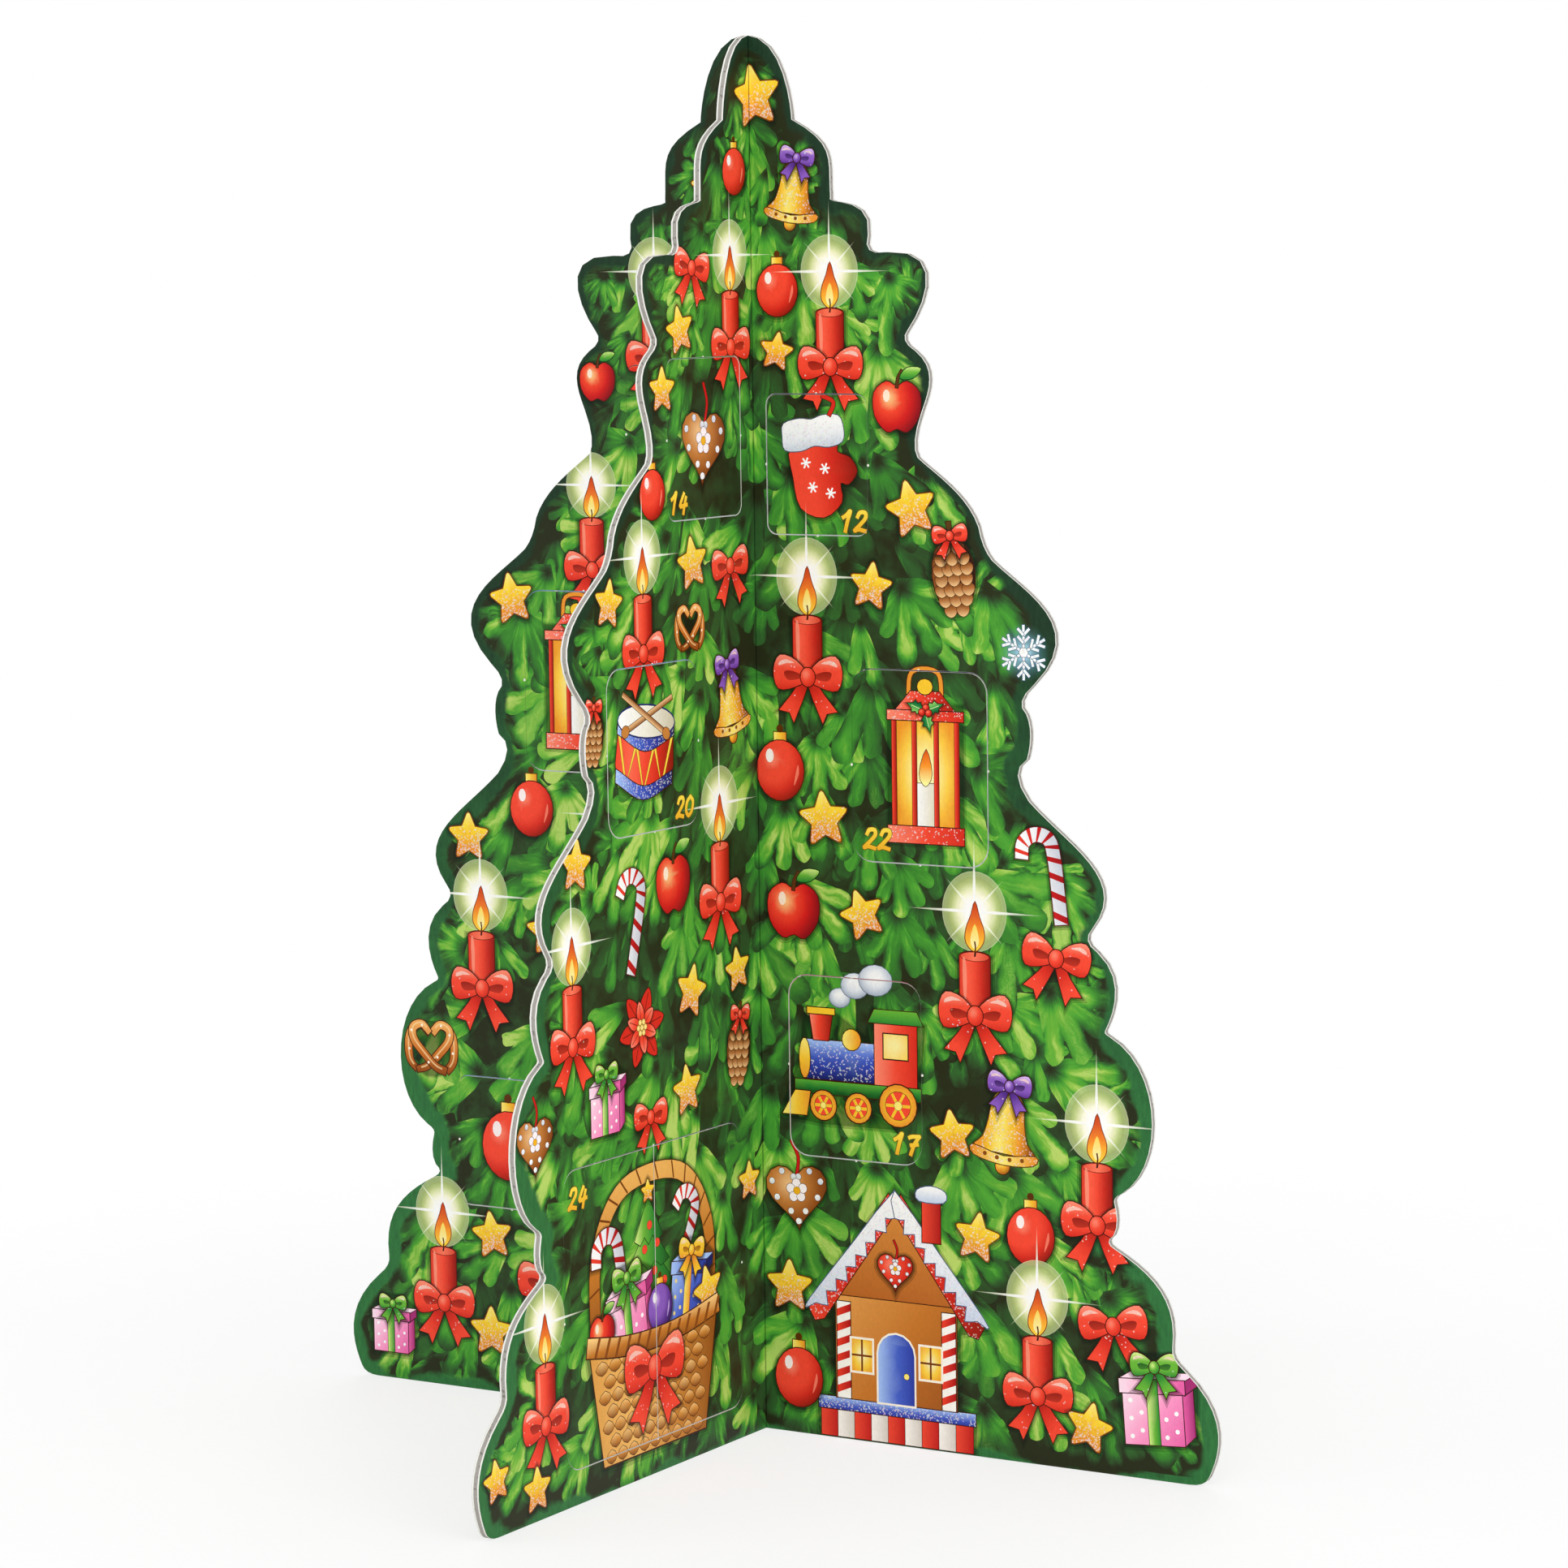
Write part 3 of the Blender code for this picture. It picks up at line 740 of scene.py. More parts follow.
def house(pen):
    """Gingerbread house, about 50 mm wide and 78 mm tall."""
    pen.shade(
        [
            -25.2 - 37.6j, 25.2 - 37.6j, 25.6 - 27j, 20 - 26j, 20.4 - 3j, 29 - 1j, 14 + 19j, 0 + 36j,
            -14 + 19j, -29 - 1j, -20.4 - 3j, -20 - 26j, -25.6 - 27j,
        ],
        1.8,
    )
    for k in range(9):
        x = -25.2 + 5.6 * k
        pen.fill(
            block(x, -38, x + 5.6, -29),
            fade(x, x + 5.6, *(("f04a34", "c01c1c") if k % 2 == 0 else ("fdfbf6", "d6cfc6"))), line=0.2,
        )
    pen.fill(block(-26, -30, 26, -26.4), fade(-26.4j, -30j, *BLUE[:3]), glitter=0.5)
    pen.fill(block(-20, -26.4, 20, 4), fade(-20 + 4j, 20 - 26j, "e8a254", "c8792e", "9c521c"))
    pen.fill([-20 + 4j, 20 + 4j, 0 + 31j], fade(31j, 4j, "d98c3e", "b9682a"))
    for x in (-17.4, 17.4):
        pen.fill(block(x - 2.2, -26.4, x + 2.2, 2), "fdfbf6", line=0.3)
        for k in range(6):
            y = -25 + 4.5 * k
            pen.fill(
                [
                    x - 2.2 + 1j * y, x + 2.2 + 1j * (y + 1.8), x + 2.2 + 1j * (y + 4),
                    x - 2.2 + 1j * (y + 2.2),
                ],
                fade(x - 2, x + 2, "f0402c", "b4161a"), line=0,
            )
    pen.fill(
        np.concatenate([[-6 - 26.4j, 6 - 26.4j], 6 * np.exp(1j * np.linspace(0, math.pi, 9)) - 12j]),
        fade(-6, 6, *BLUE[:3]), line=0.6, edge="fdf6e6",
    )
    pen.fill(oval(3.4 - 18j, 0.9, 0.9, 8), GOLD[0], line=0.15)
    for x in (-11.4, 11.4):
        pen.fill(
            block(x - 3.4, -18, x + 3.4, -8.6), glow(x - 13j, 5 + 7j, "fffbd0", "ffd84a", "f29a24"),
            line=0.7, edge="fdf6e6", rings=(0.5,),
        )
        pen.fill(block(x - 0.3, -18, x + 0.3, -8.6), "7a3c12", line=0)
        pen.fill(block(x - 3.4, -13.6, x + 3.4, -13), "7a3c12", line=0)
    heart(pen.moved(0 + 13j, 0.72), RED)
    for side in (lambda z: z, mirror):
        roof = np.array([-2 + 35j, -29 - 1j, -27 - 4.4j, -24 - 3.6j, 0 + 29.4j])
        pen.fill(
            side(roof), fade(0, 30, *RED[1:]) if side is mirror else fade(-30, 0, RED[1], RED[2], RED[1]),
            glitter=0.3,
        )
        snow = [0 + 36j]
        for k in range(8):
            t = (k + 0.5) / 8
            edge = (1 - t) * (0 + 31.5j) + t * (-26.5 + 0.4j)
            snow += [edge + 0.9 - 0.4j + (1.3 + 0.7 * (k % 2)) * (0.55 - 0.75j)]
            snow += [(1 - t - 0.06) * (0 + 31.8j) + (t + 0.06) * (-26.8 + 0.8j)]
        snow += [-30 - 1j, -28.6 + 2j, -14 + 19.6j]
        pen.fill(
            side(smooth(snow[::-1], 2)), fade(36j, -2j, "ffffff", "f2f6ff", "c8d6ee"), glitter=0.4,
            edge="4a5a80",
        )
    pen.fill(block(9, 22, 15, 35), fade(9, 15, "f04a34", "b01a1a"))
    pen.fill(
        smooth([8 + 34j, 16 + 34j, 16.6 + 37j, 12 + 38.4j, 7.4 + 37j]), fade(38j, 34j, "ffffff", "c8d6ee"),
        edge="4a5a80",
    )


def basket(pen):
    """Wicker basket of parcels, about 74 mm wide and 80 mm tall."""
    handle = trail([-27 - 6j, -26 + 18j, -13 + 33j, 13 + 33j, 26 + 18j, 27 - 6j], 7)
    pen.shade(ribbon(handle, 4.6), 1.5)
    pen.shade([-24 - 37j, 24 - 37j, 31 - 5j, 0 - 2j, -31 - 5j], 2.0)
    pen.fill(ribbon(handle, 4.6), fade(35j, -6j, "f0b45e", "c97c2c", "8a4a16"))
    for k in range(2, len(handle) - 2, 2):
        way = (handle[k + 1] - handle[k - 1]) / abs(handle[k + 1] - handle[k - 1])
        pen.fill(
            ribbon(handle[k] + way * 1j * np.array([-2.2 - 0.9j, 0, 2.2 + 0.9j]), 0.6), "7a3c10", line=0,
        )
    tree(pen.moved(-2 + 14j, 1.35))
    cane(pen.moved(-19 + 9j, 1.25, 14))
    cane(pen.moved(13 + 16j, 1.1, -24))
    gift(pen.moved(-12 - 2j, 1.05, 7), PINK, GREEN)
    gift(pen.moved(16 + 1j, 0.95, -8), BLUE, GOLD, "f7e08a")
    bauble(pen.moved(3 - 1j, 0.95), VIOLET)
    apple(pen.moved(-24 - 3j, 0.8))
    star(pen.moved(26 - 1j, 0.9, 12))
    body = np.array([-30 - 6j, -24 - 37j, 24 - 37j, 30 - 6j])
    pen.fill(body, fade(-30, 30, "e0a04c", "f2bc68", "cf8a38", "8f5018"), line=0.5)
    for row in range(8):
        y = -36.6 + 3.9 * row
        half = 24.2 + (y + 37) * 6 / 31
        for k in range(9):
            x = (k - 4.5 + (row % 2) * 0.5) * half / 4.75
            if x + half / 5 > half:
                continue
            pen.fill(
                smooth(
                    [
                        x + 1j * (y + 1.6), x + half / 10 + 1j * (y - 0.1), x + half / 5 + 1j * (y + 1.6),
                        x + half / 10 + 1j * (y + 3.5),
                    ],
                    2,
                ),
                fade(x + 1j * (y + 4), x + 1j * y, "ffd890", "d8923e", "8a4a16"), line=0.2,
            )
    rim = ribbon(trail([-31 - 5j, -15 - 7.6j, 0 - 8.4j, 15 - 7.6j, 31 - 5j], 5), 5)
    pen.fill(rim, fade(-3j, -11j, "ffd488", "c97c2c", "8a4a16"), line=0.4)
    for k in range(13):
        x = -28 + 4.7 * k
        y = -8.4 + 3.2 * (x / 31) ** 2
        pen.fill(
            [
                x + 1j * (y - 2.4), x + 1.2 + 1j * (y - 2.4), x + 3.4 + 1j * (y + 2.4),
                x + 2.2 + 1j * (y + 2.4),
            ],
            "8a4a16", line=0,
        )
    bow(pen.moved(0 - 16j, 1.35), RED)


# Each digit is one or two pen strokes in a box one unit wide and 1.6 high.
DIGITS = {
    "0": [[0.45 + 1.5j, 0.1 + 1.1j, 0.1 + 0.4j, 0.45 + 0.05j, 0.8 + 0.4j, 0.85 + 1.1j, 0.5 + 1.5j]],
    "1": [[0.1 + 1.1j, 0.35 + 1.3j, 0.6 + 1.6j, 0.5 + 0.8j, 0.45 + 0j]],
    "2": [
        [
            0.1 + 1.15j, 0.25 + 1.5j, 0.65 + 1.5j, 0.75 + 1.1j, 0.4 + 0.55j, 0.05 + 0.1j, 0.35 + 0.18j,
            0.9 + 0.05j,
        ]
    ],
    "3": [
        [0.12 + 1.3j, 0.45 + 1.55j, 0.78 + 1.25j, 0.4 + 0.85j],
        [0.4 + 0.85j, 0.85 + 0.6j, 0.7 + 0.1j, 0.1 + 0.1j],
    ],
    "4": [[0.45 + 1.5j, 0.1 + 0.6j, 0.5 + 0.55j, 0.95 + 0.62j], [0.75 + 1.2j, 0.65 + 0.6j, 0.6 - 0.05j]],
    "5": [
        [0.85 + 1.5j, 0.55 + 1.48j, 0.3 + 1.45j],
        [0.3 + 1.45j, 0.2 + 0.9j, 0.6 + 0.95j, 0.85 + 0.5j, 0.5 + 0.05j, 0.08 + 0.15j],
    ],
    "6": [[0.75 + 1.5j, 0.3 + 1.1j, 0.12 + 0.5j, 0.4 + 0.05j, 0.8 + 0.35j, 0.6 + 0.8j, 0.2 + 0.55j]],
    "7": [
        [0.08 + 1.35j, 0.3 + 1.45j, 0.85 + 1.5j], [0.85 + 1.5j, 0.55 + 0.8j, 0.4 + 0j],
        [0.3 + 0.75j, 0.8 + 0.85j],
    ],
    "8": [
        [
            0.75 + 1.35j, 0.4 + 1.55j, 0.2 + 1.2j, 0.5 + 0.85j, 0.8 + 0.45j, 0.5 + 0.05j, 0.12 + 0.35j,
            0.45 + 0.8j, 0.75 + 1.1j, 0.75 + 1.35j,
        ]
    ],
    "9": [
        [0.8 + 1.3j, 0.45 + 1.55j, 0.15 + 1.2j, 0.4 + 0.85j, 0.78 + 1.15j],
        [0.8 + 1.3j, 0.7 + 0.6j, 0.45 + 0j],
    ],
}


def number(pen, text):
    """Hand-drawn gold numerals, about 6 mm tall."""
    for weight, paint in ((1.75, colour("6a4410", 0.5)), (1.2, fade(6j, 0j, "ffe04e", "f8c838", "f2b42e"))):
        for place, digit in enumerate(text):
            start = (place - len(text) / 2) * 4.9
            for stroke in DIGITS[digit]:
                line = trail(stroke, 3)
                line = start + 4.3 * line.real + 0.7 * line.imag + 3.75j * line.imag
                for a, b in zip(line, line[1:]):
                    reach = (b - a) / abs(b - a) * weight * 0.36
                    pen.fill(ribbon(np.array([a - reach, b + reach]), weight), paint, line=0)


# Fir twigs

FINGER = 0.47  # radians from one finger of a twig to the next
# One finger's blunt outline: place across it, in fingers, and share of its length
FINGERTIP = (
    (-0.45, 0.66), (-0.41, 0.83), (-0.30, 0.96), (-0.11, 1.02), (0.10, 1.02), (0.29, 0.95), (0.40, 0.82),
    (0.44, 0.70),
)


def twig(sheet, at, reach, heading, fingers, tone, rng):
    """One fan of blunt fingers. The shader paints inside it from its own polar coordinates."""
    loop = [-0.14 + 0j]
    first = -(fingers // 2)
    for finger in range(first, first + fingers):
        long = rng.uniform(0.8, 1.1) * (1 - 0.05 * finger**2)
        for off, share in FINGERTIP:
            share = 0.62 + (share - 0.62) * long
            loop.append(long * share * rng.uniform(0.97, 1.03) * cmath.exp(1j * (finger + off) * FINGER))
    gain = reach * cmath.exp(1j * heading)
    sheet.add(at + gain * smooth(loop, 2), None, 0.0, (at, gain, rng.uniform(0.05, 9.0), tone))


RIM_SPACING = 12.5  # mm from one twig at the rim to the next
# Spacing of each coat of twigs, its range of tone and of reach, and the level above which it grows
COATS = (
    (18.0, 0.04, 0.32, 18.0, 25.0, -99), (17.5, 0.5, 1.0, 18.0, 27.0, -99),
    (14.0, 0.5, 0.95, 12.0, 17.0, 325),
)


def rim_twigs(sheet, rng, outline):
    """Short twigs that point at the outline, hanging a little."""
    ahead = np.roll(outline, -1)
    lengths = abs(ahead - outline)
    far = np.cumsum(lengths)
    for place in np.arange(5, far[-1], RIM_SPACING):
        k = int(np.searchsorted(far, place))
        along = (ahead[k] - outline[k]) / lengths[k]
        at = ahead[k] - along * (far[k] - place)
        if at.imag < 2 or abs(at.real) < 5:
            continue
        way = -1j * along * cmath.exp(1j * rng.uniform(-0.5, 0.5)) - 0.35j
        way /= abs(way)
        reach = rng.uniform(12, 17)
        root = at - way * (reach + rng.uniform(2.5, 5.0))
        twig(sheet, root, reach, cmath.phase(way), rng.choice((3, 3, 4, 4, 5)), rng.uniform(0.3, 0.85), rng)


def fir(sheet, rng, top, half_width, outlines):
    """Twigs over the whole sector, each hung over the row below: a dark coat, the rim's, and bright coats."""
    for coat, (step, dark, bright, short, long, floor) in enumerate(COATS):
        margin = 3 if floor > 0 else 7
        if coat == 1:
            for outline in outlines:
                rim_twigs(sheet, rng, outline)
        places = []
        for row in range(int(top / step) + 2):
            for column in range(-11, 12):
                at = complex(column + 0.5 * (row % 2), row) * step
                at += complex(rng.uniform(-0.4, 0.4), rng.uniform(-0.4, 0.4)) * step
                if at.imag > floor and abs(at.real) < half_width(at.imag) - margin and rng.random() > 0.1:
                    places.append(at)
        for at in sorted(places, key=lambda p: p.imag + rng.uniform(-5, 5)):
            lean = at.real / max(half_width(at.imag), 20)
            heading = math.radians(-90 + 60 * lean + rng.uniform(-45, 45))
            fingers = rng.choice((2, 3, 3, 4, 4, 5))
            twig(sheet, at, rng.uniform(short, long), heading, fingers, rng.uniform(dark, bright), rng)


# Layout of the four sectors

DRAWN = (
    star, bauble, bow, candle, bell, cane, gift, cone, mitten, heart, flake, drum, apple, bloom, lantern,
    engine, tree, house, basket, wreath, pretzel, stocking,
)
MOTIFS = {draw.__name__: draw for draw in DRAWN}
# Motif, place across and up in millimetres, size, and turn in degrees where it has one
LAYOUT = {
    "front": [
        ("star", 1.5, 402, 1.12, 8), ("bauble", -9, 380, 0.75), ("bell", 15, 374, 0.85, -8),
        ("bow", -33, 352, 0.8, -8), ("bauble", 9, 345, 0.85), ("candle", -12, 330, 0.92),
        ("candle", 27, 324, 0.95), ("star", 8.5, 327, 0.68, -10), ("star", -40, 334, 0.85, 12),
        ("mitten", 22, 294, 1.35, 8), ("star", -50, 317, 0.8), ("apple", 49.5, 311, 0.9),
        ("star", 54, 281, 1.0, 14), ("heart", -28, 301, 1.05, -4), ("bauble", -56, 287, 0.8),
        ("star", 40, 258, 0.85, -8), ("cone", 68, 262, 1.05, 6), ("candle", -62, 243, 0.95),
        ("candle", 18, 232, 1.02), ("star", -35, 266, 0.95, 8), ("bow", -14, 264, 0.85, 4),
        ("star", -80, 257, 0.85, -8), ("flake", 91, 240, 1.0), ("pretzel", -37, 247, 0.8),
        ("bell", -15, 224, 0.95, 8), ("cone", -89, 220, 0.75, -4), ("lantern", 58, 206, 1.3),
        ("drum", -62, 213, 1.45, -6), ("bauble", 8, 202, 1.0), ("star", 23, 188, 1.0, 6),
        ("star", -99, 184, 0.9, -6), ("candle", -22, 166, 1.0), ("apple", -48, 173, 1.0),
        ("cane", -72, 164, 1.1, -10), ("cane", 97, 174, 1.05, 12), ("apple", 12, 160, 1.0),
        ("star", 36, 160, 0.9, 20), ("candle", 74, 134, 1.05), ("bow", 101, 151, 0.95, -8),
        ("candle", -102, 134, 0.98), ("star", -39, 140, 0.95, -14), ("bloom", -66, 133, 1.05),
        ("engine", 33, 112, 1.2), ("star", -13, 143, 0.8, 8), ("cone", -13, 119, 0.95, -6),
        ("bell", 84, 100, 1.05, -6), ("star", 66, 96, 0.9, 8), ("heart", -122, 108, 0.8),
        ("gift", -86, 112, 0.8), ("star", -42, 111, 0.9, 6), ("candle", 114, 75, 1.02),
        ("bow", -62, 106, 0.75), ("heart", 12, 74, 0.95, 4), ("bauble", 92, 68, 0.95),
        ("house", 46, 40, 1.0), ("star", 9, 45, 0.95), ("basket", -62, 50, 1.1),
        ("candle", -119, 28, 1.0), ("star", 74, 66, 0.9, -8), ("candle", 94, 22, 1.0),
        ("bow", 119, 44, 0.95, 6), ("gift", 132, 20, 1.05, 4), ("star", 111, 13, 0.9, -12),
        ("bauble", 12, 17, 1.0), ("star", -124, 9, 0.8), ("star", -144, 16, 0.75, 8),
        ("star", -8, 78, 0.7),
    ],
    "left": [
        ("star", 0, 402, 0.9), ("bauble", 10, 380, 0.75), ("star", -11, 376, 0.85, 8),
        ("bow", -8, 350, 0.7), ("candle", -32, 326, 0.9), ("candle", 27, 327, 0.9),
        ("cane", 8, 350, 0.8, 8), ("star", 53, 344, 0.7), ("drum", 30, 305, 1.1),
        ("mitten", -26, 304, 1.25, -6), ("star", 49, 322, 0.8), ("apple", -53, 318, 0.7),
        ("star", -7, 325, 0.8), ("candle", -56, 262, 0.88), ("candle", 44, 252, 0.95),
        ("star", -86, 251, 0.95, 10), ("bell", 6, 268, 0.95), ("bauble", 74, 266, 0.95),
        ("star", -26, 272, 0.9), ("lantern", -62, 227, 1.2), ("heart", 60, 207, 1.2, 6),
        ("bow", -20, 243, 0.85), ("star", 18, 236, 0.9), ("wreath", 86, 237, 0.65),
        ("cone", -16, 208, 1.0), ("bauble", -80, 186, 0.95), ("star", -104, 176, 0.9),
        ("candle", -50, 158, 0.98), ("candle", 20, 160, 1.0), ("star", 40, 182, 0.85),
        ("gift", 94, 176, 0.9), ("star", -20, 180, 0.85), ("bloom", 60, 146, 1.1),
        ("candle", -100, 130, 1.0), ("bell", -22, 142, 1.0, -6), ("star", 96, 142, 1.0, 6),
        ("star", -75, 148, 0.9, 6), ("cane", -67, 118, 1.1, 10), ("pretzel", -120, 108, 1.0),
        ("bow", 112, 126, 0.95), ("bauble", -91, 79, 1.2), ("gift", 53, 88, 1.3),
        ("candle", -48, 66, 1.0), ("candle", 100, 80, 1.0), ("star", -22, 108, 0.95),
        ("apple", 12, 118, 1.0), ("candle", -117, 28, 1.0), ("star", -99, 19, 0.95),
        ("bow", -76, 36, 1.05), ("bauble", -26, 50, 1.0), ("star", 14, 68, 0.95, 12),
        ("tree", 34, 32, 1.5), ("drum", 72, 34, 1.3), ("candle", 121, 24, 0.95), ("bell", -4, 24, 1.0),
        ("heart", 101, 22, 0.95), ("star", -98, 50, 0.9, 8), ("gift", -138, 15, 0.72),
        ("star", -46, 26, 0.9), ("star", 104, 48, 0.8), ("bow", 4, 92, 0.8),
    ],
    "back": [
        ("star", 0, 401, 0.95), ("bauble", -9, 376, 0.75), ("candle", 27, 328, 0.9),
        ("bell", -30, 350, 0.85), ("star", 5, 350, 0.85), ("apple", 27, 303, 1.15),
        ("cane", -24, 308, 1.15), ("star", 49, 342, 0.75), ("bow", -50, 344, 0.65),
        ("candle", 56, 258, 0.92), ("wreath", -62, 230, 1.2), ("star", -20, 272, 0.9, 8),
        ("heart", 39, 218, 1.15), ("candle", -20, 214, 0.98), ("bauble", 6, 252, 0.95),
        ("cone", 82, 222, 1.0), ("star", -72, 272, 0.9), ("star", 90, 246, 0.85),
        ("candle", 22, 152, 1.0), ("star", 50, 184, 0.95), ("bell", -86, 186, 1.0),
        ("bow", -54, 186, 0.95), ("star", -30, 182, 0.85), ("bauble", 96, 184, 0.95),
        ("pretzel", 72, 168, 0.95), ("engine", 80, 120, 1.25), ("lantern", -42, 117, 1.2),
        ("star", -74, 152, 0.85), ("candle", -104, 104, 1.0), ("star", 4, 124, 0.9),
        ("bow", -96, 164, 0.85), ("flake", 42, 104, 0.95), ("candle", -66, 40, 1.0),
        ("candle", 66, 40, 1.0), ("gift", 24, 56, 1.35), ("star", -28, 70, 0.95),
        ("bauble", 100, 80, 1.0), ("tree", -22, 28, 1.4), ("candle", 119, 26, 1.0), ("bow", 94, 34, 0.95),
        ("star", -98, 62, 0.9), ("mitten", -112, 24, 1.1), ("bell", -88, 18, 0.85), ("star", 42, 20, 0.9),
        ("apple", -132, 46, 0.8), ("star", -136, 14, 0.85, 8), ("star", 124, 104, 0.9),
        ("heart", 2, 88, 0.8),
    ],
    "right": [
        ("star", 2, 402, 0.9), ("bell", 9, 376, 0.85), ("star", -12, 370, 0.85),
        ("candle", -28, 328, 0.9), ("bauble", 28, 352, 0.85), ("star", 4, 344, 0.85),
        ("stocking", 25, 286, 1.0), ("gift", -30, 307, 0.95), ("apple", 50, 338, 0.75),
        ("bow", -50, 343, 0.65), ("candle", 52, 250, 0.92), ("candle", -68, 244, 0.9),
        ("tree", -41, 233, 1.35), ("star", 14, 254, 0.95), ("cane", -10, 264, 1.0),
        ("bauble", 80, 240, 0.95), ("bell", -14, 216, 1.0), ("star", -50, 274, 0.9),
        ("mitten", 57, 205, 1.5), ("candle", 20, 166, 1.0), ("star", -48, 192, 0.95),
        ("bauble", -78, 198, 0.9), ("star", 92, 186, 0.95), ("bow", -26, 176, 0.95),
        ("basket", -87, 122, 0.56), ("candle", -48, 122, 1.0), ("star", 54, 158, 0.9),
        ("heart", -14, 134, 0.95), ("flake", 98, 146, 1.0), ("cone", 74, 92, 1.6),
        ("star", 18, 122, 0.95), ("apple", 40, 92, 1.0), ("candle", 112, 68, 1.0),
        ("bloom", -22, 80, 1.1), ("star", -76, 78, 0.95), ("pretzel", 70, 146, 0.9),
        ("candle", -104, 40, 1.0), ("gift", 8, 42, 1.2), ("bauble", -46, 46, 1.0),
        ("candle", 52, 22, 1.0), ("star", 84, 42, 0.95), ("drum", -72, 22, 1.2), ("bow", 118, 34, 1.0),
        ("star", -14, 14, 0.9), ("bell", 88, 14, 0.9), ("star", -134, 18, 0.95), ("wreath", 14, 88, 0.7),
        ("star", 132, 12, 0.8),
    ],
}
# Number, and place across and up of its lower edge's middle
NUMBERS = {
    "front": (
        ("12", 34.5, 274), ("22", 41.5, 180), ("17", 50, 89), ("14", -42, 281), ("20", -41, 192),
        ("24", -101, 86),
    ),
    "left": (
        ("6", 14, 286), ("15", 47, 218), ("11", 67, 63), ("3", -38, 283), ("9", -43, 201), ("5", -78, 90),
    ),
    "back": (
        ("18", 39, 287), ("2", 25, 231), ("21", 96, 95), ("8", -13, 320), ("13", -49, 247), ("23", -22, 91),
    ),
    "right": (
        ("1", 12.5, 281), ("16", 43, 223), ("10", 87, 69), ("7", -13, 287), ("4", -57.5, 212),
        ("19", -105, 143),
    ),
}


def trimmed(loop, near, far, ends):
    """A door's outline with its sides moved inwards: the side by the spine, the other, and both ends."""
    across, up = abs(loop.real), loop.imag
    low, high = across.min(), across.max()
    across = np.interp(across, (low, high), (low + near, high - far))
    up = np.interp(up, (up.min(), up.max()), (up.min() + ends, up.max() - ends))
    return np.sign(loop.real.mean()) * across + 1j * up


def lies_in(leaf, hole):
    left, right, low, high = box_of(hole)
    return left < leaf.real.mean() < right and low < leaf.imag.mean() < high


def door_edges(holes, leaves, doors):
    """Where the print ends round each door: the holes in the card's print, and the leaves' prints."""
    cards, flaps = [], []
    for hole in holes:
        own = [d for d, leaf in zip(doors, leaves) if lies_in(leaf, hole)]
        near = CREASE_BRIDGE if any(d in INNER_HINGED for d in own) else -CUT_BARE
        far = CREASE_BRIDGE if any(d not in INNER_HINGED for d in own) else -CUT_BARE
        cards.append(trimmed(hole, near, far, -CUT_BARE))
    for d, leaf in zip(doors, leaves):
        near, far = (0, CUT_BARE) if d in INNER_HINGED else (CUT_BARE, 0)
        flaps.append(trimmed(leaf, near, far, CUT_BARE))
    return cards, flaps


def nicks(sheet, hole):
    """The little torn bridges of white that hold a door shut."""
    left, right, low, high = box_of(hole)
    middle = complex(left + right, low + high) / 2
    for x, y in ((middle.real, low), (middle.real, high), (left, middle.imag), (right, middle.imag)):
        sheet.add(oval(complex(x, y), NICK, NICK, 8), plain("f3f2ea"))


# How large each motif is drawn, where its size in the layout is 1
GROWTH = {
    "star": 1.12, "bell": 1.35, "bauble": 1.4, "apple": 1.3, "candle": 1.08, "heart": 1.4, "cone": 1.3,
    "bow": 1.15, "flake": 1.15, "bloom": 1.15, "cane": 1.2, "gift": 1.15, "drum": 1.1, "mitten": 1.15,
    "lantern": 1.1, "engine": 1.1, "house": 1.04, "basket": 1.04, "tree": 1.15, "wreath": 1.15,
    "pretzel": 1.15, "stocking": 1.1,
}


def printed_sheet(sector, loops, seed):
    """Everything drawn on one sector's card."""
    rng = random.Random(seed)
    sheet = Sheet()
    outlines = [np.concatenate([loop[0] for loop in loops])]
    levels = outlines[0].imag
    widths = abs(outlines[0].real)

    def half_width(level):
        near = widths[abs(levels - level) < 5.0]
        return near.max() if len(near) else 0.0

    fir(sheet, rng, levels.max(), half_width, [loop[0] for loop in loops])
    for name, x, y, size, *turn in LAYOUT[sector]:
        MOTIFS[name](Pen(sheet, complex(x, y), size * GROWTH[name], *turn))
    for text, x, y in NUMBERS[sector]:
        number(Pen(sheet, complex(x, y)), text)
    for half in loops:
        for hole in half[1:]:
            nicks(sheet, hole)
    return sheet


# From drawing to mesh


def box_of(loop):
    return loop.real.min(), loop.real.max(), loop.imag.min(), loop.imag.max()


def steps_between(low, high, through):
    """Tile edges over a range, with one of them at a given level."""
    first = through - math.ceil((through - low) / TILE) * TILE
    return [first + TILE * k for k in range(int((high - first) / TILE) + 2)]


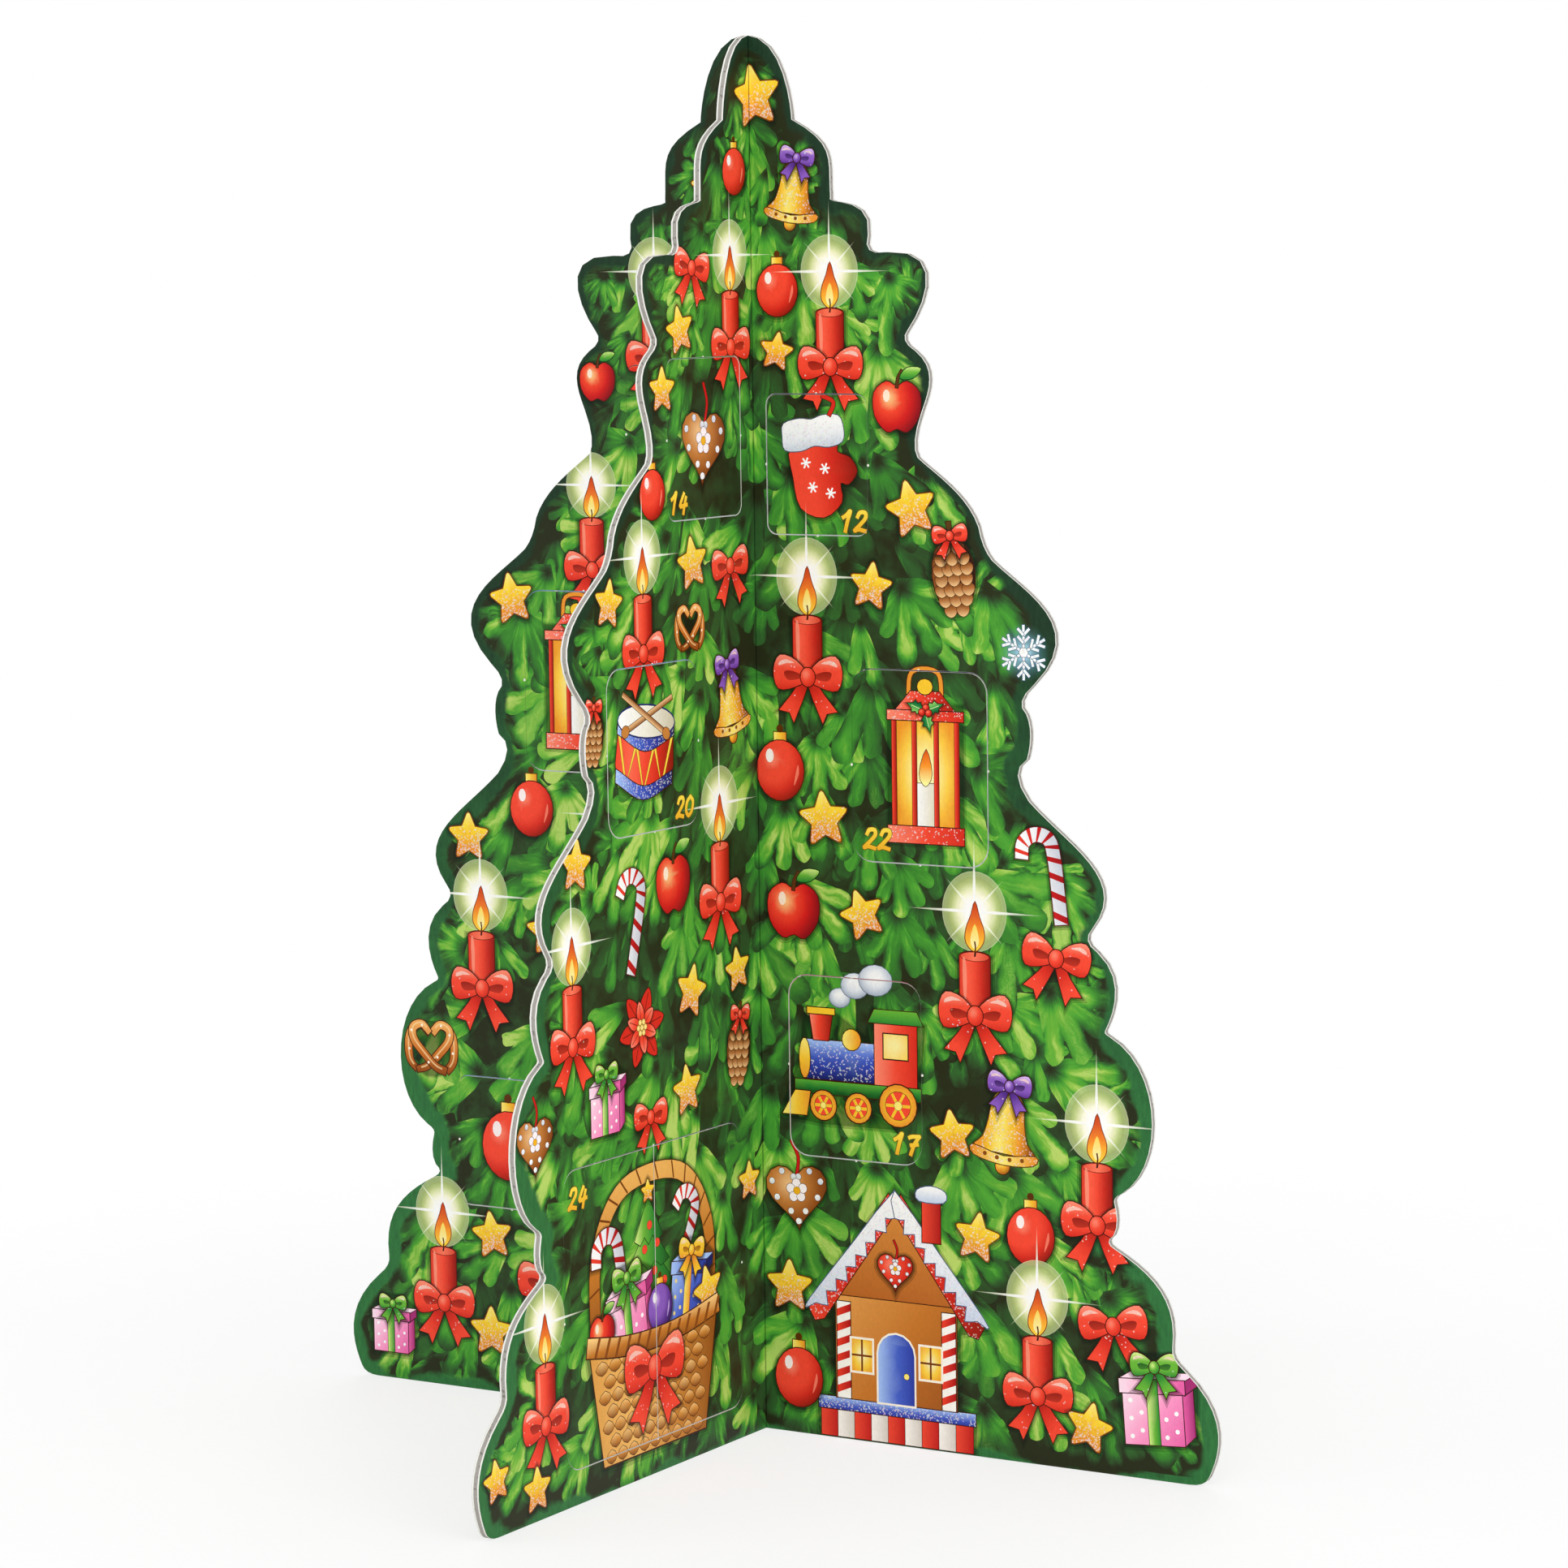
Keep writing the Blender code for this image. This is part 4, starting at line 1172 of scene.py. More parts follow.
def cut(sheet, outer, holes, parts):
    """The print's triangles, split along every outline on it, each as (corners, shapes, part).

    The part is -1 for the card, or else the leaf's place in parts.
    """
    regions = [outer, *holes, *parts]
    loops = regions + sheet.loops
    boxes = np.array([box_of(loop) for loop in loops])
    left, right, low, high = boxes[0]
    found = []
    columns = steps_between(left, right, left + FIRST_TILE)
    rows = steps_between(low, high, FOLD_LEVEL)
    for x0, x1 in zip(columns, columns[1:]):
        for y0, y1 in zip(rows, rows[1:]):
            near = (boxes[:, 0] < x1) & (boxes[:, 1] > x0) & (boxes[:, 2] < y1) & (boxes[:, 3] > y0)
            chosen = np.flatnonzero(near)
            if not len(chosen) or chosen[0] != 0:
                continue
            points, faces = [Vector(c) for c in ((x0, y0), (x1, y0), (x1, y1), (x0, y1))], [[0, 1, 2, 3]]
            for k in chosen:
                faces.append(list(range(len(points), len(points) + len(loops[k]))))
                points += [Vector((p.real, p.imag)) for p in loops[k]]
            out = delaunay_2d_cdt(points, [], faces, 1, CUT_PRECISION)
            place = [complex(*v) for v in out[0]]
            for corners, held in zip(out[2], out[5]):
                if 0 not in held or 1 not in held:
                    continue
                inside = sorted(int(chosen[h - 1]) for h in held if h > 0)
                marks = [i for i in inside if i < len(regions)]
                part = -1
                if any(0 < i <= len(holes) for i in marks):
                    leaf = [i - 1 - len(holes) for i in marks if i > len(holes)]
                    if not leaf:
                        continue
                    part = leaf[0]
                shapes = [i - len(regions) for i in inside if i >= len(regions)]
                found.append(([place[c] for c in corners], shapes, part))
    return found


RIM_REACH = 14.0  # mm from the outline up to which the distance is measured
BASE_OFFSET = 4.5  # mm added to the distance from the base, where the band at the rim fades out


def distance_inside(points, loop):
    """How far each point is from the outline. The crease isn't part of it."""
    a, b = loop, np.roll(loop, -1)
    keep = ((abs(a.real) > 2) | (abs(b.real) > 2)) & ((a.imag > 0.5) | (b.imag > 0.5))
    a, b = a[keep], b[keep]
    best = np.minimum(points.imag + BASE_OFFSET, RIM_REACH)
    for start, end in zip(a, b):
        way = end - start
        t = np.clip(((points - start) * np.conj(way)).real / abs(way) ** 2, 0, 1)
        best = np.minimum(best, abs(points - start - t * way))
    return best


MERGE, MERGE_AT_EDGE = 0.002, 0.006  # mm within which two corners become one
CRACK_SIDES = 6  # A gap in the print with more sides than this is a window.


def layer_of(name, triangles, base, top):
    """A thin closed layer over the triangles. Its front faces hold their triangle's number, from 1."""
    bm = bmesh.new()
    tag = bm.faces.layers.int.new("triangle")
    for k, (corners, _, _) in enumerate(triangles):
        face = bm.faces.new([bm.verts.new((p.real, p.imag, top)) for p in corners])
        face[tag] = k + 1
    bmesh.ops.remove_doubles(bm, verts=bm.verts, dist=MERGE)
    # A sliver that lies over its neighbours goes, and one that is missing between them is closed.
    crowded = [e for e in bm.edges if len(e.link_faces) > 2]
    slivers = dict.fromkeys(min(e.link_faces, key=lambda face: face.calc_area()) for e in crowded)
    bmesh.ops.delete(bm, geom=list(slivers), context="FACES")
    bmesh.ops.remove_doubles(bm, verts=[v for v in bm.verts if v.is_boundary], dist=MERGE_AT_EDGE)
    cracks = bmesh.ops.holes_fill(
        bm, edges=[e for e in bm.edges if e.is_boundary], sides=CRACK_SIDES
    )["faces"]
    for face in cracks:
        face[tag] = max(other[tag] for e in face.edges for other in e.link_faces)
    edges = [e for e in bm.edges if e.is_boundary]
    grownup = bmesh.ops.extrude_edge_only(bm, edges=edges)["geom"]
    low = [v for v in grownup if isinstance(v, bmesh.types.BMVert)]
    for v in low:
        v.co.z = base
    low_edges = [e for e in grownup if isinstance(e, bmesh.types.BMEdge)]
    bmesh.ops.triangle_fill(bm, edges=low_edges, use_beauty=False, use_dissolve=False, normal=(0, 0, -1))
    bmesh.ops.recalc_face_normals(bm, faces=bm.faces)
    me = bpy.data.meshes.new(name)
    bm.to_mesh(me)
    bm.free()
    return me


def draw_into(me, sheet, triangles, rim_loop):
    """Puts the drawing into the layer's corners, and returns what the bake map needs of them."""
    count = len(me.loops)
    vertex = np.empty(count, np.int32)
    me.loops.foreach_get("vertex_index", vertex)
    co = np.array([v.co for v in me.vertices])
    where = (co[:, 0] + 1j * co[:, 1])[vertex]
    depth = co[vertex, 2]
    source = np.empty(len(me.polygons), np.int32)
    me.attributes["triangle"].data.foreach_get("value", source)
    me.attributes.remove(me.attributes["triangle"])
    ink = np.zeros((count, 4))
    needles = np.zeros((count, 4))
    glitter = np.zeros(count)
    held = {}
    plain_loops = []
    middle = np.empty(count)
    for face in me.polygons:
        own = range(face.loop_start, face.loop_start + face.loop_total)
        middle[own] = face.center.y
        if source[face.index] == 0:
            face.material_index = 1
            plain_loops += own
            continue
        shapes = triangles[source[face.index] - 1][1]
        twigs = [i for i in shapes if sheet.needles[i]]
        if twigs:
            held.setdefault(twigs[-1], []).extend(own)
        for i in shapes:
            if not sheet.needles[i] and (not twigs or i > twigs[-1]):
                held.setdefault(i, []).extend(own)
    for i in sorted(held):
        own = np.array(held[i])
        if sheet.needles[i]:
            at, gain, seed, tone = sheet.needles[i]
            local = (where[own] - at) / gain
            needles[own] = np.stack(
                [local.real, local.imag, np.full(len(own), seed), np.full(len(own), tone)], 1,
            )
            continue
        shade = sheet.paints[i](where[own])
        cover = shade[:, 3:]
        ink[own] = ink[own] * (1 - cover) + np.hstack([shade[:, :3] * cover, cover])
        sparkle = sheet.glitter[i]
        sparkle = sparkle(where[own]) if callable(sparkle) else sparkle
        glitter[own] = glitter[own] * (1 - cover[:, 0]) + sparkle * cover[:, 0]
    rim = distance_inside(where, rim_loop)
    trim = np.stack([where.real, where.imag, rim, glitter], 1)
    for label, values in (("ink", ink), ("needles", needles), ("trim", trim)):
        layer = me.color_attributes.new(label, "FLOAT_COLOR", "CORNER")
        layer.data.foreach_set("color", values.astype(np.float32).ravel())
    return where, depth, middle, np.array(plain_loops, int)


# A card's bake map in millimetres: its size, and where its second column, its rim and its back go
MAP_WIDE, MAP_HIGH = 256, 218
SECOND_COLUMN = 159
PLAIN_LEFT, PLAIN_LOW = 121, 168


def lay_bake_map(me, where, depth, middle, plain_loops, base, columns):
    """Lays a card's print in two columns, lower and upper half, and any other print in one piece."""
    across, up = abs(where.real), where.imag
    if columns:
        second = middle > FOLD_LEVEL
        u = np.where(second, SECOND_COLUMN + across, across + 1) / MAP_WIDE
        v = np.where(second, up - FOLD_LEVEL + 1, up + 1) / MAP_HIGH
        u[plain_loops] = (PLAIN_LEFT + 0.2 * across[plain_loops]) / MAP_WIDE
        v[plain_loops] = (PLAIN_LOW + 0.11 * up[plain_loops] + 30 * (depth[plain_loops] - base)) / MAP_HIGH
    else:
        wide, high = np.ptp(across), np.ptp(up)
        u = (across - across.min()) / wide * 0.9 + 0.01
        v = (up - up.min()) / high * 0.98 + 0.01
        u[plain_loops] = 0.94 + (across[plain_loops] - across.min()) / wide * 0.04
        v[plain_loops] = (v[plain_loops] - 0.01) * 0.9 + 0.02 + (depth[plain_loops] - base) * 0.5
    chart = me.uv_layers.new(name="OFBake")
    chart.uv.foreach_set("vector", np.stack([u, v], 1).astype(np.float32).ravel())


def film(name, sheet, triangles, place, base, top, rim_loop, materials, body, columns=False):
    """A thin closed layer of print that rides on a body."""
    me = layer_of(name, triangles, base, top)
    where, depth, middle, plain_loops = draw_into(me, sheet, triangles, rim_loop)
    lay_bake_map(me, where, depth, middle, plain_loops, base, columns)
    me.transform(place.matrix())
    for material in materials:
        me.materials.append(material)
    ob = bpy.data.objects.new(name, me)
    bpy.context.scene.collection.objects.link(ob)
    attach(ob, body)


# Materials


class Wire:
    """A shader node's output that takes arithmetic."""

    def __init__(self, make, socket):
        self.make, self.socket = make, socket

    def math(self, operation, *others, clamp=False):
        return self.make.node("Math", (self, *others), operation=operation, use_clamp=clamp)[0]

    def __add__(self, other):
        return self.math("ADD", other)

    def __sub__(self, other):
        return self.math("SUBTRACT", other)

    def __rsub__(self, other):
        return self.make.node("Math", (other, self), operation="SUBTRACT")[0]

    def __mul__(self, other):
        return self.math("MULTIPLY", other)

    def __truediv__(self, other):
        return self.math("DIVIDE", other)

    __radd__ = __add__
    __rmul__ = __mul__

    def clamp(self):
        return self.math("ADD", 0.0, clamp=True)

    def ramp(self, low, high, to_low=0.0, to_high=1.0):
        """Eases from one range to another."""
        return self.make.node(
            "MapRange", (self, low, high, to_low, to_high), interpolation_type="SMOOTHSTEP",
        )[0]


class Maker:
    """Adds nodes to one material."""

    def __init__(self, name):
        self.material = bpy.data.materials.new(name)
        self.material.use_nodes = True
        self.tree = self.material.node_tree
        self.shader = self.tree.nodes["Principled BSDF"]

    def node(self, kind, inputs=(), **settings):
        """A node and its outputs. inputs is a tuple in socket order, or a dict by socket name or place."""
        made = self.tree.nodes.new("ShaderNode" + kind)
        for key, value in settings.items():
            setattr(made, key, value)
        for key, value in (inputs if isinstance(inputs, dict) else dict(enumerate(inputs))).items():
            self.join(value, made.inputs[key])
        return [Wire(self, s) for s in made.outputs]

    def join(self, value, socket):
        if isinstance(value, Wire):
            self.tree.links.new(value.socket, socket)
        elif value is not None:
            socket.default_value = value

    def mix(self, share, a, b, blend="MIX"):
        return self.node("Mix", {0: share, 6: a, 7: b}, data_type="RGBA", blend_type=blend)[2]

    def vector(self, *parts):
        return self.node("CombineXYZ", parts)[0]

    def attribute(self, name):
        """Red, green, blue and alpha of a corner colour, and the colour itself."""
        made = self.node("Attribute", attribute_name=name)
        split = self.node("SeparateColor", (made[0],))
        return split[0], split[1], split[2], made[3], made[0]

    def noise(self, vector, scale, detail=2.0, rough=0.5):
        return self.node(
            "TexNoise", {"Vector": vector, "Scale": scale, "Detail": detail, "Roughness": rough},
        )[0]

    def colours(self, value, *stops):
        made = self.node("ValToRGB", (value,))
        ramp = made[0].socket.node.color_ramp
        for k, (at, code) in enumerate(stops):
            stop = ramp.elements[k] if k < 2 else ramp.elements.new(at)
            stop.position = at
            stop.color = colour(code)
        return made[0]

    def bump(self, height, distance):
        return self.node("Bump", {"Height": height, "Distance": distance})[0]

    def finish(self, base, rough, normal, **constants):
        self.join(base, self.shader.inputs["Base Color"])
        self.join(rough, self.shader.inputs["Roughness"])
        self.join(normal, self.shader.inputs["Normal"])
        for name, value in constants.items():
            self.shader.inputs[name.replace("_", " ")].default_value = value
        return self.material


def print_material():
    """Varnished print: fir twigs painted by the shader, with the inked motifs over them."""
    m = Maker("varnished_print")
    u, v, seed, tone, _ = m.attribute("needles")
    x, y, rim, glitter, _ = m.attribute("trim")
    _, _, _, cover, ink = m.attribute("ink")
    place = m.vector(x, y, 0.0)
    patch = m.noise(place, 0.035, 2.0) - 0.5
    wobble = m.noise(place, 0.2, 2.0) - 0.5

    # A twig is one mass near its root. Its fingers part, darken at their edges, and carry lighter
    # brush marks along their middles.
    turn = v.math("ARCTAN2", u) + wobble * 0.22
    reach = (u * u + v * v).math("SQRT") + wobble * 0.10
    finger = (turn / FINGER).math("ROUND")
    off = turn / FINGER - finger
    chance = m.node("TexWhiteNoise", (m.vector(finger, seed, 0.0),), noise_dimensions="2D")[0]
    middle = 1 - (off.math("ABSOLUTE") * 2).math("POWER", 3.2)
    parted = reach.ramp(0.25, 0.8)
    body = (1 - (1 - middle) * parted * 0.9) * reach.ramp(-0.08, 0.3) * (1 - reach.ramp(0.82, 1.1) * 0.62)
    bristle = m.noise(m.vector(turn * 4.5, reach * 1.5, seed * 13.0), 1.0, 3.0, 0.6) - 0.5
    light = body * (0.46 + chance * 0.18 + patch * 0.75) + bristle * 0.34
    gleam = (bristle * 2.4 + middle * 0.45 + chance * 0.7 + patch * 1.2 - 0.70).ramp(0.0, 0.75)
    gleam = gleam * reach.ramp(0.12, 0.45) * (1 - reach.ramp(0.78, 1.02) * 0.75)
    light = (light + gleam * 0.36) * (0.30 + tone * 0.74)
    light = (light - 0.42) * 1.38 + 0.472
    ground = (wobble * 0.8 + patch * 1.4 + 0.16).clamp() * 0.36
    has = tone.math("GREATER_THAN", 0.01)
    light = light * has + ground * (1 - has)

    # A plain painted band runs inside the rim, with a dark gap between it and the twigs.
    width = (m.noise(place, 0.022, 1.0).ramp(0.35, 0.65) * 4.0 + 3.0) * (1.05 - y / 760)
    inward = rim + (m.noise(place, 0.10, 3.0) - 0.5) * 7.0 - width
    light = light - (inward.ramp(-1.5, 0.5) - inward.ramp(1.0, 7.0)) * 0.3
    stops = (
        (0.0, "272c17"), (1.0, "b9d66c"), (0.10, "2d4224"), (0.24, "32602d"), (0.38, "3b832f"),
        (0.52, "4ea236"), (0.66, "6cb23b"), (0.82, "93c44e"),
    )
    green = m.colours(light, *stops)
    low = ((250 - y) / 165 + patch * 1.2 + bristle * 0.5).clamp()
    band = m.mix(low, colour("223e29"), colour("377a41"))
    brushed = m.noise(m.vector(x * 0.5, y * 0.12, 3.0), 1.6, 3.0, 0.65)
    band = m.mix((brushed * 1.8 - 0.5).clamp() * 0.7, band, m.mix(low, colour("16261c"), colour("225030")))
    green = m.mix(inward.ramp(-1.1, 1.1), band, green)

    # Brush marks and grains of glitter on the inked motifs, and painted shade along the crease. The glitter
    # is partly painted light: its flakes are real, and pale specks of random hue in the colour stand in for
    # their glints, with a few darker ones.
    grain = m.node(
        "TexVoronoi", {"Vector": place, "Scale": 2.6, "Randomness": 1.0}, voronoi_dimensions="2D",
    )
    fleck = m.node("SeparateColor", (grain[1],))
    spark = (fleck[0] + glitter * 0.42).math("GREATER_THAN", 1.0)
    dim = (fleck[1] + glitter * 0.3).math("GREATER_THAN", 1.0)
    hue = m.node("HueSaturation", {"Hue": fleck[2], "Saturation": 0.35, "Color": colour("ffe2b4")})[0]
    brush = m.noise(m.vector(x * 0.9, y * 0.5, seed), 1.3, 3.0, 0.6)
    whole = m.mix(1.0, m.mix(cover, green, colour("000000")), ink, "ADD")
    # Painted glints: pale specks of random hue over the glitter, and a few dark brown flecks.
    whole = m.mix(spark * 0.55, whole, hue)
    whole = m.mix(dim * 0.14, whole, colour("7a3c10"))
    # Painted shade: within half a millimetre of the crease, where the two halves meet at the spine, the print
    # is darkened to under half its brightness.
    gain = (brush * 0.24 + 0.91) * (x.math("ABSOLUTE").ramp(0.12, 0.5) * 0.55 + 0.45)
    whole = m.node("HueSaturation", {"Color": whole, "Value": gain})[0]

    varnish = m.noise(place, 0.8, 3.0)
    pitted = m.noise(place, 4.0, 2.0)
    rough = varnish * 0.10 + pitted * 0.05 + 0.30 + glitter * 0.2
    height = pitted * 0.5 + m.noise(place, 0.06, 2.0) * 6.0 + spark * 1.6 + cover * 0.3
    return m.finish(whole, rough, m.bump(height, 0.00002), Specular_IOR_Level=0.10)


def board_material(name, light, dark, fibres, fleck=None):
    """Cut or bare board: matt, with fibres lying along it."""
    m = Maker(name)
    place = m.node("TexCoord")[3]
    fibre = m.noise(m.node("Mapping", {"Vector": place, "Scale": (1.0, 1.0, fibres)})[0], 900.0, 4.0, 0.65)
    cloud = m.noise(place, 60.0, 3.0)
    base = m.mix((fibre * 0.7 + cloud * 0.3).clamp(), colour(dark), colour(light))
    if fleck:
        spots = m.node("TexVoronoi", {"Vector": place, "Scale": 1500.0})
        chosen = m.node("SeparateColor", (spots[1],))[0].math("GREATER_THAN", 0.93)
        base = m.mix(chosen * 0.6, base, colour(fleck))
    rough = fibre * 0.12 + 0.78
    return m.finish(base, rough, m.bump(fibre, 0.00004))


PRINT = print_material()
WHITE_BOARD = board_material("white_board", "f6f5f0", "dedcd4", 6.0)
GREY_BOARD = board_material("grey_board", "b4b1aa", "8b8780", 8.0, "5c564e")

# Pictures

# What lies behind each door: a motif, its ground's two colours, and a hue if it isn't the usual one
GROUNDS = {
    "night": ("16265e", "3f6cc0"), "red": ("a81e22", "e8584a"), "gold": ("e0952a", "fbe08c"),
    "mint": ("4f9a6a", "cdeccf"), "rose": ("d0608c", "fbd3e2"), "sky": ("6aa6d8", "e2f2fb"),
    "violet": ("4a3282", "a98ad6"),
}
PICTURES = {
    "01": ("bauble", "night", GOLD), "02": ("wreath", "gold"), "03": ("bell", "red"),
    "04": ("cane", "mint"), "05": ("gift", "sky"), "06": ("star", "violet"), "07": ("apple", "mint"),
    "08": ("candle", "night"), "09": ("stocking", "sky"), "10": ("drum", "gold"), "11": ("cone", "mint"),
    "12": ("flake", "night"), "13": ("heart", "rose"), "14": ("bow", "mint"), "15": ("tree", "sky"),
    "16": ("lantern", "night"), "17": ("pretzel", "rose"), "18": ("bloom", "gold"),
    "19": ("engine", "sky"), "20": ("mitten", "sky"), "21": ("basket", "rose"), "22": ("house", "night"),
    "23": ("stocking", "mint"), "24": ("tree", "night"),
}
# Motifs beside the main one: name, place from the window's middle, size
BESIDE = {
    "24": (
        ("gift", -33 - 26j, 1.25), ("drum", 33 - 27j, 1.1), ("flake", -33 + 24j, 1.0),
        ("bell", 33 + 22j, 1.0),
    )
}
# Width, height and middle of each motif at size 1, in millimetres
SPANS = {
    "star": (15, 15, 0), "bauble": (12, 16, 1), "bow": (21, 18, -3), "candle": (22, 52, 11),
    "bell": (15, 26, 1), "cane": (11, 23, 0), "gift": (21, 26, 3), "cone": (11, 22, 2),
    "mitten": (16, 24, 0), "heart": (17, 24, 2), "flake": (15, 15, 0), "drum": (20, 22, 2),
    "apple": (14, 18, 1), "bloom": (20, 20, 0), "lantern": (18, 37, 1), "engine": (37, 37, 6),
    "tree": (19, 26, 2), "house": (60, 78, 0), "wreath": (24, 28, -2), "pretzel": (16, 16, 0),
    "stocking": (20, 46, 3), "basket": (76, 84, 0),
}
PICTURE_LAP = 1.0  # mm by which a picture runs on under the card
PICTURE_FILL = 0.84  # how much of its window the main motif takes up
SNOW_SHARE = 60  # mm2 of the picture for each flake of snow
FIRST_SEED = 40  # for the first sector's twigs


def window_picture(door, hole, name, height, wing, place):
    """A small print on the picture sheet, behind one window."""
    motif, ground, *hue = PICTURES[door]
    left, right, low, high = box_of(hole)
    middle = complex(left + right, low + high) / 2
    dark, pale = GROUNDS[ground]
    paper = Sheet()
    pen = Pen(paper)
    pen.fill(
        block(left - 3, low - 3, right + 3, high + 3), fade(complex(0, low), complex(0, high), pale, dark),
        line=0,
    )
    rng = random.Random(int(door))
    for _ in range(int((right - left) * (high - low) / SNOW_SHARE)):
        at = complex(rng.uniform(left, right), rng.uniform(low, high))
        pen.fill(oval(at, 0.6, 0.6, 7), colour("ffffff", 0.8), line=0, glitter=0.5)
    hill = smooth(
        [
            left - 6 + 1j * low, left + 1j * (low + 6), middle.real + 1j * (low + 9),
            right + 1j * (low + 5), right + 6 + 1j * low, middle.real + 1j * (low - 8),
        ],
        5,
    )
    pen.fill(
        hill, fade(complex(0, low + 9), complex(0, low - 2), "ffffff", "dfe9f6"), line=0.3, edge="5a6a90",
        glitter=0.3,
    )
    wide, tall, lift = SPANS[motif]
    size = PICTURE_FILL * min((right - left) / wide, (high - low) / tall)
    MOTIFS[motif](pen.moved(middle - 1j * lift * size, size), *hue)
    for beside, at, gain in BESIDE.get(door, ()):
        MOTIFS[beside](pen.moved(middle + at, gain))
    outline = grown(anticlockwise(hole), PICTURE_LAP)
    triangles = cut(paper, outline, [], [])
    base, top = height + PICTURE_BASE, height + PICTURE_TOP
    film(name, paper, triangles, place, base, top, outline, (PRINT, GREY_BOARD), wing)


# The prints

for number_of_sector, (sector, halves) in enumerate(SECTORS.items()):
    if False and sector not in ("front", "left"):
        continue
    places = [Place(wing, hand) for wing, face, hand in halves]
    cards = [
        printed_loops(nodes[f"{wing}_{face}_card"], place) for (wing, face, _), place in zip(halves, places)
    ]
    sheet = printed_sheet(sector, [loops for loops, _ in cards], FIRST_SEED + number_of_sector)
    for (wing, face, hand), place, (loops, height) in zip(halves, places, cards):
        leaves = [printed_loops(nodes[f"door_{d}"], place)[0][0] for d in DOORS[wing, face]]
        holes, flaps = door_edges(loops[1:], leaves, DOORS[wing, face])
        edge = loops[0].copy()
        edge.real[abs(edge.real) < NEAR_CREASE] = hand * SPINE_LAP
        triangles = cut(sheet, edge, holes, flaps)
        materials = (PRINT, WHITE_BOARD)
        own = [t for t in triangles if t[2] == -1]
        film(
            f"{wing}_{face}_print", sheet, own, place, height + INK_BASE, height + INK_TOP, edge, materials,
            wing, True,
        )
        for k, d in enumerate(DOORS[wing, face]):
            own = [t for t in triangles if t[2] == k]
            film(
                f"door_{d}_print", sheet, own, place, height + INK_BASE, height + INK_TOP, edge, materials,
                f"door_{d}",
            )
        print("PRINT", wing, face, len(triangles), flush=True)
        backing = printed_loops(nodes[f"{wing}_{face}_pictures"], place)[1]
        for hole in loops[1:]:
            door = next(d for d, leaf in zip(DOORS[wing, face], leaves) if lies_in(leaf, hole))[:2]
            window_picture(door, hole, f"picture_{door}", backing, wing, place)

for name, node in nodes.items():
    board = GREY_BOARD if name.endswith("_pictures") else WHITE_BOARD
    node.data.materials.clear()
    node.data.materials.append(board)

# Studio

scene = bpy.context.scene
scene.view_settings.view_transform = "Standard"

EYE = Vector((750.24, -1219.02, 354.08)) * MM
LOOK = Vector((-0.51612, 0.84956, -0.10892))
ROLL = math.radians(-0.726)
LENS = 109.88

TREE_MIDDLE = Vector((0, 0, 0.2))

camera = bpy.data.objects.new("camera", bpy.data.cameras.new("camera"))
scene.collection.objects.link(camera)
scene.camera = camera
right = LOOK.cross(Vector((0, 0, 1))).normalized()
up = right.cross(LOOK).normalized()
right, up = right * math.cos(ROLL) + up * math.sin(ROLL), up * math.cos(ROLL) - right * math.sin(ROLL)
turn = Matrix([[right[i], up[i], -LOOK.normalized()[i]] for i in range(3)])
camera.matrix_world = Matrix.Translation(EYE) @ turn.to_4x4()
camera.data.lens = LENS
camera.data.sensor_width = 36.0
camera.data.clip_start, camera.data.clip_end = 0.05, 50.0

FLOOR = 8  # metres from the object to the floor's edge
floor_mesh = bpy.data.meshes.new("floor")
floor_mesh.from_pydata(
    [(-FLOOR, -FLOOR, 0), (FLOOR, -FLOOR, 0), (FLOOR, FLOOR, 0), (-FLOOR, FLOOR, 0)], [], [(0, 1, 2, 3)],
)
floor = bpy.data.objects.new("floor", floor_mesh)
floor.location.z = -0.0002
scene.collection.objects.link(floor)

